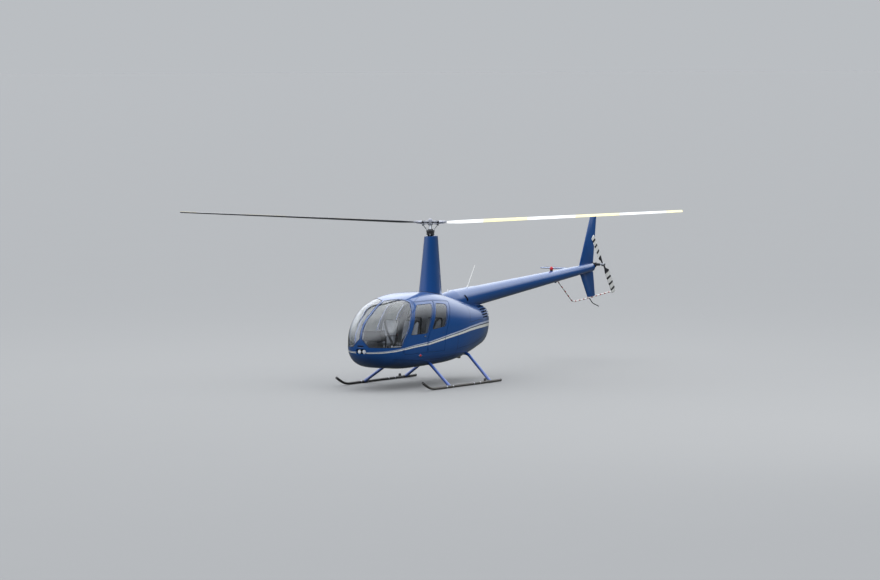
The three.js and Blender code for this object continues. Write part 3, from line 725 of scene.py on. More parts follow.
class Group(Enum):
    """The shader groups, each with its inputs as (name, socket type, default) and its outputs."""

    TONE = (
        "tone",
        (("Color", "Color", (0.5, 0.5, 0.5, 1)), ("Roughness", "Float", 0.4), ("Patch size", "Float", 0.2),
         ("Spread", "Float", 0.06), ("Gloss spread", "Float", 0.05)),
        (("Color", "Color"), ("Roughness", "Float")),
    )
    DUST = (
        "dust",
        (("Color", "Color", (0.5, 0.5, 0.5, 1)), ("Roughness", "Float", 0.4), ("Amount", "Float", 0.3),
         ("Height", "Float", 0.8), ("Dust", "Color", (0.32, 0.29, 0.24, 1))),
        (("Color", "Color"), ("Roughness", "Float")),
    )
    WEAR = (
        "wear",
        (("Color", "Color", (0.5, 0.5, 0.5, 1)), ("Roughness", "Float", 0.4), ("Amount", "Float", 0.3),
         ("Bare", "Color", (0.45, 0.46, 0.47, 1)), ("Scratch size", "Float", 0.01)),
        (("Color", "Color"), ("Roughness", "Float")),
    )
    PEEL = ("orange_peel", (("Size", "Float", 0.01),), (("Height", "Float"),))
    LEATHER = ("leather_grain", (("Size", "Float", 0.003),), (("Height", "Float"),))
    WEAVE = ("weave", (("Size", "Float", 0.002),), (("Height", "Float"),))
    BRUSH = ("brushing", (("Size", "Float", 0.002),), (("Height", "Float"),))
    PILE = ("pile", (("Size", "Float", 0.004),), (("Height", "Float"),))

    def tree(self) -> bpy.types.NodeTree:
        """Returns the group's node tree, built the first time.

        Returns:
            The tree.
        """
        name, inputs, outputs = self.value
        found = bpy.data.node_groups.get(name)
        if found:
            return found
        tree = bpy.data.node_groups.new(name, "ShaderNodeTree")
        for label, kind, default in inputs:
            socket = tree.interface.new_socket(label, in_out="INPUT", socket_type=f"NodeSocket{kind}")
            socket.default_value = default
        for label, kind in outputs:
            tree.interface.new_socket(label, in_out="OUTPUT", socket_type=f"NodeSocket{kind}")
        nodes = Nodes(tree)
        given = nodes.add("NodeGroupInput").outputs
        results = GROUP_MAKERS[self](nodes, given)
        end = nodes.add("NodeGroupOutput")
        for socket, value in zip(end.inputs, results):
            nodes.put(socket, value)
        return tree


def make_tone(nodes: Nodes, given: Sockets) -> tuple:
    """Colour and gloss that drift a little in soft patches, with a finer drift on top.

    Args:
        nodes: The group's tree.
        given: The group's inputs.

    Returns:
        The colour and the roughness.
    """
    wide = nodes.noise(given["Patch size"])
    fine = nodes.noise(nodes.math("MULTIPLY", given["Patch size"], 0.13), 5)
    drift = nodes.math("MULTIPLY_ADD", fine, 0.4, wide)
    level = nodes.math("MULTIPLY_ADD", drift, given["Spread"], 1.0)
    colour = nodes.add("VectorMath", {"operation": "SCALE"}, i0=given["Color"], Scale=level).outputs[0]
    gloss = nodes.math("MULTIPLY_ADD", drift, given["Gloss spread"], given["Roughness"], clamp=True)
    return colour, gloss


def make_dust(nodes: Nodes, given: Sockets) -> tuple:
    """A dry film that thickens towards the ground and breaks up in patches.

    Args:
        nodes: The group's tree.
        given: The group's inputs.

    Returns:
        The colour and the roughness.
    """
    height = nodes.add("SeparateXYZ", i0=nodes.place()).outputs[2]
    low = nodes.math("SUBTRACT", 1.0, nodes.math("DIVIDE", height, given["Height"]), clamp=True)
    patches = nodes.math("MULTIPLY_ADD", nodes.noise(0.12, 6), 0.5, 0.5, clamp=True)
    mask = nodes.math("MULTIPLY", nodes.math("MULTIPLY", low, patches), given["Amount"], clamp=True)
    colour = nodes.mix(mask, given["Color"], given["Dust"])
    return colour, nodes.math("MULTIPLY_ADD", mask, 0.5, given["Roughness"], clamp=True)


def make_wear(nodes: Nodes, given: Sockets) -> tuple:
    """Long scratches where two noises cross a level, which bare what lies under the finish.

    Args:
        nodes: The group's tree.
        given: The group's inputs.

    Returns:
        The colour and the roughness.
    """
    scratch = nodes.noise(given["Scratch size"], 8, (0.12, 1, 1))
    worn = nodes.noise(0.3, 2)
    level = nodes.math("MULTIPLY_ADD", given["Amount"], -0.6, 0.75)
    both = nodes.math("MULTIPLY_ADD", worn, 0.35, scratch)
    mask = nodes.math("MULTIPLY", nodes.math("SUBTRACT", both, level), 9.0, clamp=True)
    colour = nodes.mix(mask, given["Color"], given["Bare"])
    return colour, nodes.math("MULTIPLY_ADD", mask, 0.15, given["Roughness"], clamp=True)


def make_peel(nodes: Nodes, given: Sockets) -> tuple:
    """The shallow waves of sprayed enamel."""
    return (nodes.noise(given["Size"], 2),)


def make_leather(nodes: Nodes, given: Sockets) -> tuple:
    """Rounded cells parted by creases, with a few long folds.

    Args:
        nodes: The group's tree.
        given: The group's inputs.

    Returns:
        The height.
    """
    scale = nodes.math("DIVIDE", 1.0, given["Size"])
    settings = {"feature": "SMOOTH_F1"}
    cells = nodes.add("TexVoronoi", settings, Vector=nodes.place(), Scale=scale).outputs["Distance"]
    folds = nodes.noise(nodes.math("MULTIPLY", given["Size"], 14.0), 4)
    return (nodes.math("MULTIPLY_ADD", folds, 0.5, nodes.math("MULTIPLY", cells, -1.0)),)


def make_weave(nodes: Nodes, given: Sockets) -> tuple:
    """Two sets of rounded threads that cross, from a sine along each of two directions.

    Args:
        nodes: The group's tree.
        given: The group's inputs.

    Returns:
        The height.
    """
    parts = nodes.add("SeparateXYZ", i0=nodes.place()).outputs
    turn = nodes.math("DIVIDE", 2 * math.pi, given["Size"])
    warp = nodes.math("SINE", nodes.math("MULTIPLY", nodes.math("ADD", parts[0], parts[2]), turn))
    weft = nodes.math("SINE", nodes.math("MULTIPLY", nodes.math("ADD", parts[1], parts[2]), turn))
    return (nodes.math("MULTIPLY", warp, weft),)


def make_brush(nodes: Nodes, given: Sockets) -> tuple:
    """Fine lines along x, from a noise drawn out forty times."""
    return (nodes.noise(given["Size"], 4, (0.025, 1, 1)),)


def make_pile(nodes: Nodes, given: Sockets) -> tuple:
    """Cut pile: a fine noise on a coarser one."""
    coarse = nodes.noise(nodes.math("MULTIPLY", given["Size"], 6.0), 3)
    return (nodes.math("MULTIPLY_ADD", coarse, 0.5, nodes.noise(given["Size"], 6)),)


GROUP_MAKERS: dict[Group, Callable] = {
    Group.TONE: make_tone,
    Group.DUST: make_dust,
    Group.WEAR: make_wear,
    Group.PEEL: make_peel,
    Group.LEATHER: make_leather,
    Group.WEAVE: make_weave,
    Group.BRUSH: make_brush,
    Group.PILE: make_pile,
}


@dataclass(frozen=True)
class Paint:
    """What every finish has: a name, a colour, and a material that is built the first time."""

    name: str
    colour: Colour
    cover = 1.0

    def material(self) -> bpy.types.Material:
        """Returns the finish's material.

        Returns:
            The material.
        """
        found = bpy.data.materials.get(self.name)
        if found:
            return found
        material = bpy.data.materials.new(self.name)
        material.use_nodes = True
        nodes = Nodes(material.node_tree)
        nodes.add("OutputMaterial", Surface=self.shader(nodes).outputs[0])
        material.diffuse_color = (*self.colour, self.cover)
        return material

    def shader(self, nodes: Nodes) -> bpy.types.Node:
        """Adds the shader's nodes and returns the last one."""
        raise NotImplementedError


@dataclass(frozen=True)
class Finish(Paint):
    """An opaque finish: colour, gloss, and how both change over the surface.

    A finish can also carry a second colour that gloss and bounce rays see as a plain diffuse surface: a painted
    reflection and bounce, darker than the finish looks to the camera.
    """

    roughness: float = 0.4
    metallic: float = 0.0
    coat: float = 0.0
    coat_roughness: float = 0.03
    specular: float = 0.5
    sheen: float = 0.0
    patch: float = 0.25
    spread: float = 0.05
    gloss_spread: float = 0.04
    relief: Group | None = None
    relief_size: float = 0.01
    relief_depth: float = 0.0002
    dust: float = 0.0
    dust_height: float = 0.9
    wear: float = 0.0
    bare: Colour = (0.45, 0.46, 0.47)
    glow: float = 0.0
    painted_bounce: Colour | None = None

    def shader(self, nodes: Nodes) -> bpy.types.Node:
        """Adds the shader's nodes and returns the last one.

        Args:
            nodes: The material's tree.

        Returns:
            The last node.
        """
        colour, roughness = self.surface(nodes)
        shader = nodes.add("BsdfPrincipled", Base_Color=colour, Roughness=roughness, Metallic=self.metallic,
                           Coat_Weight=self.coat, Coat_Roughness=self.coat_roughness,
                           Specular_IOR_Level=self.specular, Sheen_Weight=self.sheen)
        if self.glow:
            nodes.put(shader.inputs["Emission Color"], self.colour)
            nodes.put(shader.inputs["Emission Strength"], self.glow)
        if self.relief:
            height = self.group(nodes, self.relief, {"Size": self.relief_size})[0]
            bump = nodes.add("Bump", Strength=1.0, Distance=self.relief_depth, Height=height)
            nodes.put(shader.inputs["Normal"], bump.outputs[0])
        # Painted reflection: gloss and bounce rays see a plain diffuse surface of the darker colour, not the finish
        if self.painted_bounce:
            path = nodes.add("LightPath").outputs
            deep = nodes.add("BsdfDiffuse", Color=self.painted_bounce)
            glancing = nodes.math("MAXIMUM", path["Is Glossy Ray"], path["Is Diffuse Ray"])
            shader = nodes.add("MixShader", i0=glancing, i1=shader.outputs[0], i2=deep.outputs[0])
        return shader

    @staticmethod
    def group(nodes: Nodes, kind: Group, values: dict) -> bpy.types.NodeOutputs:
        """Places a shader group with its values and returns its outputs.

        Args:
            nodes: The tree.
            kind: Which group.
            values: Its inputs by name.

        Returns:
            The group's outputs.
        """
        node = nodes.tree.nodes.new("ShaderNodeGroup")
        node.node_tree = kind.tree()
        for name, value in values.items():
            nodes.put(node.inputs[name], value)
        return node.outputs

    def surface(self, nodes: Nodes) -> tuple:
        """Adds the groups for the finish's colour and roughness and returns both sockets.

        Args:
            nodes: The material's tree.

        Returns:
            The colour and the roughness.
        """
        values = {"Color": self.colour, "Roughness": self.roughness, "Patch size": self.patch,
                  "Spread": self.spread, "Gloss spread": self.gloss_spread}
        colour, roughness = self.group(nodes, Group.TONE, values)
        if self.wear:
            values = {"Color": colour, "Roughness": roughness, "Amount": self.wear, "Bare": self.bare}
            colour, roughness = self.group(nodes, Group.WEAR, values)
        if self.dust:
            values = {"Color": colour, "Roughness": roughness, "Amount": self.dust, "Height": self.dust_height}
            colour, roughness = self.group(nodes, Group.DUST, values)
        return colour, roughness


@dataclass(frozen=True)
class Clear(Paint):
    """A clear finish, such as acrylic glazing or a lamp lens, that lets light fall through it."""

    roughness: float = 0.0
    ior: float = 1.49
    shadow: Colour = (0.93, 0.94, 0.95)
    cover = 0.3

    def shader(self, nodes: Nodes) -> bpy.types.Node:
        """Adds the shader's nodes and returns the last one.

        Args:
            nodes: The material's tree.

        Returns:
            The last node.
        """
        clear = nodes.add("BsdfPrincipled", Base_Color=self.colour, IOR=self.ior, Roughness=self.roughness,
                          Transmission_Weight=1.0)
        through = nodes.add("BsdfTransparent", Color=self.shadow)
        path = nodes.add("LightPath").outputs
        soft = nodes.math("MAXIMUM", path["Is Shadow Ray"], path["Is Diffuse Ray"])
        return nodes.add("MixShader", i0=soft, i1=clear.outputs[0], i2=through.outputs[0])


class Coat(Enum):
    """Every finish on the machine and on the floor under it."""

    BLUE = Finish("blue_enamel", (0.005, 0.066, 0.250), 0.32, coat=1.0, specular=0.25, patch=0.6, spread=0.05,
                  relief=Group.PEEL, relief_size=0.012, relief_depth=0.00006, dust=0.03, dust_height=0.9)
    STRUT = Finish("strut_enamel", (0.030, 0.100, 0.420), 0.32, coat=0.8, relief=Group.PEEL, relief_size=0.01,
                   relief_depth=0.00005, dust=0.35, dust_height=0.5, wear=0.1)
    SILVER = Finish("stripe_silver", (0.50, 0.56, 0.72), 0.35, coat=0.6, spread=0.04)
    CREAM = Finish("stripe_cream", (0.80, 0.80, 0.74), 0.38, coat=0.5, spread=0.05, dust=0.1)
    SEAM = Finish("panel_seam", (0.006, 0.012, 0.035), 0.7)
    WHITE = Finish("white_enamel", (0.80, 0.80, 0.77), 0.35, coat=0.4, spread=0.06, dust=0.1)
    YELLOW = Finish("yellow_enamel", (0.86, 0.72, 0.25), 0.38, coat=0.4, spread=0.06)
    DARK = Finish("dark_enamel", (0.018, 0.018, 0.022), 0.42, coat=0.15, wear=0.05, bare=(0.12, 0.12, 0.12))
    HEAD = Finish("hub_grey", (0.40, 0.41, 0.46), 0.36, metallic=0.5, coat=0.2, spread=0.08, wear=0.1)
    # Near-black painted shade for openings: the engine bay behind the louvres and inside the cowl, the nose inlet and
    # the boom vent
    SHADE_BLACK = Finish("painted_shade_black", (0.004, 0.004, 0.005), 0.9, specular=0.1)
    RED = Finish("red_enamel", (0.42, 0.05, 0.03), 0.4, coat=0.4)
    BLACK = Finish("black_enamel", (0.015, 0.015, 0.017), 0.45, coat=0.2, dust=0.5, dust_height=0.35, wear=0.22)
    RUBBER = Finish("black_rubber", (0.016, 0.016, 0.017), 0.75, spread=0.12, relief=Group.PEEL,
                    relief_size=0.003, relief_depth=0.0001)
    LINING = Finish("cabin_lining", (0.55, 0.56, 0.58), 0.8, spread=0.05, relief=Group.LEATHER,
                    relief_size=0.004, relief_depth=0.0002)
    CARPET = Finish("cabin_carpet", (0.055, 0.06, 0.07), 0.95, sheen=0.3, spread=0.25, patch=0.04,
                    relief=Group.PILE, relief_size=0.003, relief_depth=0.0012)
    LEATHER = Finish("seat_leather", (0.24, 0.245, 0.26), 0.48, spread=0.08, patch=0.1, gloss_spread=0.08,
                     relief=Group.LEATHER, relief_size=0.0032, relief_depth=0.0003)
    BELT = Finish("belt_webbing", (0.02, 0.02, 0.022), 0.8, sheen=0.2, relief=Group.WEAVE,
                  relief_size=0.0022, relief_depth=0.0003)
    PANEL = Finish("panel_black", (0.02, 0.02, 0.021), 0.62, relief=Group.LEATHER, relief_size=0.0016,
                   relief_depth=0.00015)
    DIAL = Finish("dial_face", (0.008, 0.008, 0.009), 0.6)
    MARK = Finish("dial_mark", (0.75, 0.75, 0.72), 0.6)
    METAL = Finish("satin_metal", (0.42, 0.43, 0.45), 0.38, metallic=1.0, relief=Group.BRUSH,
                   relief_size=0.0015, relief_depth=0.00003, wear=0.06, bare=(0.6, 0.6, 0.6))
    BRIGHT = Finish("bright_metal", (0.78, 0.79, 0.80), 0.16, metallic=1.0, gloss_spread=0.05)
    ENGINE = Finish("cast_metal", (0.22, 0.225, 0.23), 0.6, metallic=0.6, spread=0.12, relief=Group.PILE,
                    relief_size=0.003, relief_depth=0.0003)
    HOT = Finish("exhaust_steel", (0.30, 0.25, 0.21), 0.45, metallic=0.9, spread=0.22, patch=0.06)
    LAMP = Finish("lamp_light", (1.0, 0.97, 0.92), 0.3, glow=14.0)
    # The floor is pale to the camera but dark in gloss and bounce: a painted dark reflection on the machine's belly and
    # lower sides
    FLOOR = Finish("studio_floor", (0.32, 0.32, 0.315), 0.85, specular=0.2, spread=0.02, patch=3.0,
                   painted_bounce=(0.07, 0.075, 0.07))
    GLASS = Clear("acrylic_glazing", (0.94, 0.95, 0.96), 0.015)
    LENS = Clear("lamp_lens", (0.97, 0.98, 1.0), 0.02)
    RED_LENS = Clear("red_lens", (0.85, 0.03, 0.04), 0.08, shadow=(0.8, 0.1, 0.1))
    GREEN_LENS = Clear("green_lens", (0.03, 0.55, 0.20), 0.08, shadow=(0.1, 0.7, 0.3))


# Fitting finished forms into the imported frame


def placed(name: str, data: bpy.types.ID) -> bpy.types.Object:
    """Returns a new object of the scene with some data.

    Args:
        name: The object's name.
        data: Its mesh, light or camera.

    Returns:
        The object.
    """
    thing = bpy.data.objects.new(name, data)
    bpy.context.scene.collection.objects.link(thing)
    return thing


def read(items: bpy.types.bpy_prop_collection, name: str, width: int = 1, kind: type = float) -> np.ndarray:
    """Returns one property of every item, as rows of a width where that is more than one.

    Args:
        items: The items.
        name: The property.
        width: How many numbers each item has.
        kind: The numbers' type.

    Returns:
        The values.
    """
    values = np.empty(len(items) * width, kind)
    items.foreach_get(name, values)
    return values.reshape(-1, width) if width > 1 else values


class Machine:
    """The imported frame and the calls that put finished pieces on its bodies."""

    def __init__(self) -> None:
        """Loads the frame and finds the mast in it."""
        self.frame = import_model()
        self.cad_box = [list(corner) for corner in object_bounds()]
        low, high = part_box("swashplate")
        self.mast_x = (low.x + high.x) / 2

    def mesh(self, name: str, form: Form, closed: bool, crease: float) -> bpy.types.Mesh:
        """Turns a form into a mesh, welded, facing outwards, and sharp where faces meet steeply.

        Args:
            name: The mesh's name.
            form: Its points and faces.
            closed: Whether its faces can be turned outwards.
            crease: The angle in degrees past which an edge is sharp.

        Returns:
            The mesh.
        """
        mesh = bpy.data.meshes.new(name)
        points = form.points + [self.mast_x, 0, 0]
        mesh.from_pydata(points, [], form.faces())
        finishes = np.concatenate([form.triangle_finish, form.quad_finish]).astype(np.int32)
        mesh.polygons.foreach_set("material_index", finishes)
        work = bmesh.new()
        work.from_mesh(mesh)
        bmesh.ops.remove_doubles(work, verts=work.verts, dist=1e-5)
        bmesh.ops.dissolve_degenerate(work, edges=work.edges, dist=1e-6)
        if closed:
            bmesh.ops.recalc_face_normals(work, faces=work.faces)
        work.to_mesh(mesh)
        work.free()
        mesh.shade_smooth()
        mesh.set_sharp_from_angle(angle=math.radians(crease))
        return mesh

    def add(self, name: str, form: Form, coats: Coat | Sequence[Coat], body: str = "airframe",
            replaces: Sequence[str] = (), slot: str | None = None, closed: bool = True,
            crease: float = 34) -> bpy.types.Object:
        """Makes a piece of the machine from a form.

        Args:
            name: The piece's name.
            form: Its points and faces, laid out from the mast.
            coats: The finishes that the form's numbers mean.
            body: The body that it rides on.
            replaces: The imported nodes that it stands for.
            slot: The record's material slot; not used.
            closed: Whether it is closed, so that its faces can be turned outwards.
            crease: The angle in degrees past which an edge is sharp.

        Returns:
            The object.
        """
        mesh = self.mesh(name, form, closed, crease)
        piece = placed(name, mesh)
        for coat in [coats] if isinstance(coats, Coat) else coats:
            mesh.materials.append(coat.value.material())
        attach(piece, body)
        if replaces:
            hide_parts(*replaces)
        log.info("%s: %d faces on %s", name, len(mesh.polygons), body)
        return piece

    def smooth_to(self, piece: bpy.types.Object, directions: Callable[[np.ndarray], np.ndarray]) -> None:
        """Shades the faces that lie along a surface with its exact directions, and leaves steep ones flat.

        Args:
            piece: The object.
            directions: Gives the surface's outward directions at points laid out from the mast.
        """
        mesh = piece.data
        points = read(mesh.vertices, "co", 3) - [self.mast_x, 0, 0]
        way = directions(points)[read(mesh.loops, "vertex_index", kind=int)]
        face_way = np.repeat(read(mesh.polygons, "normal", 3), read(mesh.polygons, "loop_total", kind=int), 0)
        agree = (way * face_way).sum(1)
        way = np.where(np.abs(agree)[:, None] > 0.8, way * np.sign(agree)[:, None], face_way)
        mesh.normals_split_custom_set(way.tolist())

    def refinish(self, node: str, coat: Coat) -> None:
        """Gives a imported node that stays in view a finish.

        Args:
            node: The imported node.
            coat: Its finish.
        """
        mesh = self.frame["nodes"][node].data
        mesh.materials.clear()
        mesh.materials.append(coat.value.material())


# The pod's skin, and the plan by which it is cut into panels


def denser(path: Points, step: float, loop: bool = False) -> np.ndarray:
    """A path with each of its runs divided evenly into parts of at most step.

    Args:
        path: The path.
        step: The longest part allowed.
        loop: Whether the end joins the start.

    Returns:
        The path with its added points.
    """
    line = np.asarray(path, float)
    line = np.concatenate([line, line[:1]]) if loop else line
    run = np.diff(line, axis=0)
    count = np.maximum(1, np.ceil(np.linalg.norm(run, axis=1) / step)).astype(int)
    part = np.arange(count.sum()) - np.repeat(np.cumsum(count) - count, count)
    share = (part / np.repeat(count, count))[:, None]
    points = np.repeat(line[:-1], count, 0) + share * np.repeat(run, count, 0)
    return points if loop else np.concatenate([points, line[-1:]])


@dataclass(frozen=True)
class Outline:
    """A closed line drawn in one view of the port half, anticlockwise, perhaps only ahead of some x."""

    view: View
    corners: np.ndarray
    ahead_of: float = -9.0

    def holds(self, points: np.ndarray) -> np.ndarray:
        """Whether points of the port half lie within the line."""
        a, b, _ = self.view.value
        return inside(self.corners, points[..., a], points[..., b]) & (points[..., 0] > self.ahead_of)

    def grown(self, distances: Amount) -> Outline:
        """Returns the line with each edge moved outwards by its distance."""
        return Outline(self.view, shrink(self.corners, -np.asarray(distances, float)), self.ahead_of)


def side_view(corners: Points) -> Outline:
    """Returns a closed line in the side view, turned anticlockwise."""
    return Outline(View.SIDE, anticlockwise(corners))


def ribbon(line: Points, width: float) -> Outline:
    """A band of even width along a line in the side view.

    Args:
        line: The middle of the band.
        width: Its width.

    Returns:
        The band.
    """
    line = np.asarray(line, float)
    along = unit(np.gradient(line, axis=0))
    out = 0.5 * width * np.stack([-along[:, 1], along[:, 0]], 1)
    return side_view(np.concatenate([line - out, (line + out)[::-1]]))


@dataclass(frozen=True)
class Skin:
    """The pod's outer surface.

    Station s runs from 0 at the nose to the last row at the tail, and the rows' values between two rows
    follow a Catmull-Rom curve. A section is a superellipse on each side of its widest line:
    y = half cos(a) N, z = wide + reach sin(a) N, with N = (|cos a|^n + |sin a|^n)^(-1/n).
    """

    rows: tuple[tuple[float, ...], ...]
    girth: float = 0.65
    nose: int = 6
    halvings: int = 30
    station_samples: int = 4000
    length_samples: int = 2000
    keel_side_roof: tuple = (-1.5, 0.0, 1.5)

    @property
    def last(self) -> int:
        """The last station."""
        return len(self.rows) - 1

    def section(self, s: np.ndarray) -> tuple[np.ndarray, ...]:
        """Returns x, half, top, bottom, wide and the two powers at stations, as arrays.

        Args:
            s: The stations.

        Returns:
            x, half, top, bottom, wide, upper power and lower power.
        """
        rows = np.array(self.rows)
        over = rows[[1, -2]] * [1, -1, 1, 1, 1, 1, 1]
        over[:, [2, 3]] = over[:, [3, 2]]
        rows = np.concatenate([over[:1], rows, over[1:]])
        s = np.clip(np.asarray(s, float), 0, self.last)
        first = np.minimum(s.astype(int), self.last - 1)
        t = (s - first)[..., None]
        a, b, c, d = (rows[first + k] for k in range(4))
        value = 0.5 * (2 * b + (c - a) * t + (2 * a - 5 * b + 4 * c - d) * t**2 + (3 * b - a - 3 * c + d) * t**3)
        return tuple(np.moveaxis(value, -1, 0))

    def point(self, s: np.ndarray, angle: np.ndarray) -> np.ndarray:
        """Returns the points at stations and angles; 90 degrees is the roof line and 0 the port side.

        Args:
            s: The stations.
            angle: The angles in radians.

        Returns:
            The points.
        """
        x, half, top, bottom, wide, upper, lower = self.section(s)
        c, d = np.cos(angle), np.sin(angle)
        power = np.where(d >= 0, upper, lower)
        size = (np.abs(c) ** power + np.abs(d) ** power) ** (-1 / power)
        reach = np.where(d >= 0, top - wide, wide - bottom)
        return np.stack(np.broadcast_arrays(x, half * c * size, wide + reach * d * size), -1)

    def normal(self, s: np.ndarray, angle: np.ndarray) -> np.ndarray:
        """Returns the outward directions, from the cross product of the two central differences.

        Args:
            s: The stations.
            angle: The angles in radians.

        Returns:
            The directions.
        """
        step = 1e-3
        near = np.clip(s, 4 * step, self.last - 4 * step)
        along = self.point(near + step, angle) - self.point(near - step, angle)
        around = self.point(near, angle + step) - self.point(near, angle - step)
        out = unit(np.cross(along, around))
        s = np.broadcast_to(s, out.shape[:-1])
        out[s < 1e-6] = (1, 0, 0)
        out[s > self.last - 1e-6] = (-1, 0, 0)
        return out

    def station(self, x: np.ndarray) -> np.ndarray:
        """Returns the stations at places along the machine."""
        s = np.linspace(0, self.last, self.station_samples)
        return np.interp(-np.asarray(x, float), -self.section(s)[0], s)

    def normals_at(self, points: np.ndarray) -> np.ndarray:
        """Returns the outward directions of the skin near points, on either side of the machine.

        Args:
            points: The points, laid out from the mast.

        Returns:
            The directions.
        """
        s = self.station(points[:, 0])
        _, half, top, bottom, wide, _, _ = self.section(s)
        rise = points[:, 2] - wide
        reach = np.where(rise >= 0, top - wide, wide - bottom)
        angle = np.arctan2(rise / np.maximum(reach, 1e-6), points[:, 1] / np.maximum(half, 1e-6))
        return self.normal(s, angle)

    def seen(self, view: View, a: np.ndarray, b: np.ndarray) -> tuple[np.ndarray, np.ndarray]:
        """Returns the stations and angles of the port half's points drawn at (a, b) in a view.

        In the front view the station is found by halving: a section holds (y, z) where
        |y / half|^n + |rise / reach|^n <= 1.

        Args:
            view: The view.
            a: The points' first coordinates in it.
            b: Their second coordinates.

        Returns:
            The stations and the angles.
        """
        if view is View.FRONT:
            low, high = np.zeros_like(a), np.full_like(a, self.nose)
            for _ in range(self.halvings):
                middle = (low + high) / 2
                across, rise, power = self.share(middle, a, b)
                within = across**power + np.abs(rise) ** power <= 1
                low, high = np.where(within, low, middle), np.where(within, middle, high)
            across, rise, _ = self.share(high, a, b)
            return high, np.arctan2(rise, across)
        s = self.station(a)
        if view is View.TOP:
            across = np.clip(b / np.maximum(self.section(s)[1], 1e-6), 0, 1)
            power = self.section(s)[5]
            return s, np.arctan2((1 - across**power) ** (1 / power), across)
        _, rise, power = self.share(s, np.zeros_like(a), b)
        rise = np.clip(rise, -1, 1)
        return s, np.arctan2(rise, (1 - np.abs(rise) ** power) ** (1 / power))

    def share(self, s: np.ndarray, y: np.ndarray, z: np.ndarray) -> tuple[np.ndarray, ...]:
        """Returns y and the rise over the widest line as shares of the section's sizes, and its power.

        Args:
            s: The stations.
            y: How far from the middle.
            z: How high.

        Returns:
            The share across, the share of the rise, and the power.
        """
        _, half, top, bottom, wide, upper, lower = self.section(s)
        rise = z - wide
        reach = np.where(rise >= 0, top - wide, wide - bottom)
        power = np.where(rise >= 0, upper, lower)
        return y / np.maximum(half, 1e-6), rise / np.maximum(reach, 1e-6), power

    def flat(self, s: np.ndarray, angle: np.ndarray) -> np.ndarray:
        """Unrolls stations and angles onto a plane: length along the side, and angle times the girth."""
        return np.stack([np.interp(s, *self.lengths()), angle * self.girth], -1)

    def unflat(self, places: np.ndarray) -> tuple[np.ndarray, np.ndarray]:
        """Returns the stations and angles of places on the unrolled plane."""
        stations, lengths = self.lengths()
        return np.interp(places[:, 0], lengths, stations), places[:, 1] / self.girth

    def lengths(self) -> tuple[np.ndarray, np.ndarray]:
        """Returns stations and the mean length of the roof, side and keel lines up to them.

        Returns:
            The stations and the lengths.
        """
        s = np.linspace(0, self.last, self.length_samples)
        lines = [self.point(s, np.full_like(s, turn)) for turn in self.keel_side_roof]
        steps = sum(np.linalg.norm(np.diff(line, axis=0), axis=1) for line in lines) / len(lines)
        return s, np.concatenate([[0], np.cumsum(steps)])

    def on(self, outline: Outline, step: float = 0.012, sunk: float = 0.0) -> tuple[np.ndarray, np.ndarray]:
        """Returns points and outward directions along an outline on the skin, sunk below it.

        Args:
            outline: The outline.
            step: The longest run between two points.
            sunk: How far below the skin.

        Returns:
            The points and the directions.
        """
        line = denser(outline.corners, step, loop=True)
        s, angle = self.seen(outline.view, line[:, 0], line[:, 1])
        out = self.normal(s, angle)
        return self.point(s, angle) - sunk * out, out

    def along(self, line: Points, step: float = 0.02) -> tuple[np.ndarray, np.ndarray]:
        """Returns points and outward directions along an open line of the side view.

        Args:
            line: The line.
            step: The longest run between two points.

        Returns:
            The points and the directions.
        """
        line = denser(line, step)
        s, angle = self.seen(View.SIDE, line[:, 0], line[:, 1])
        return self.point(s, angle), self.normal(s, angle)


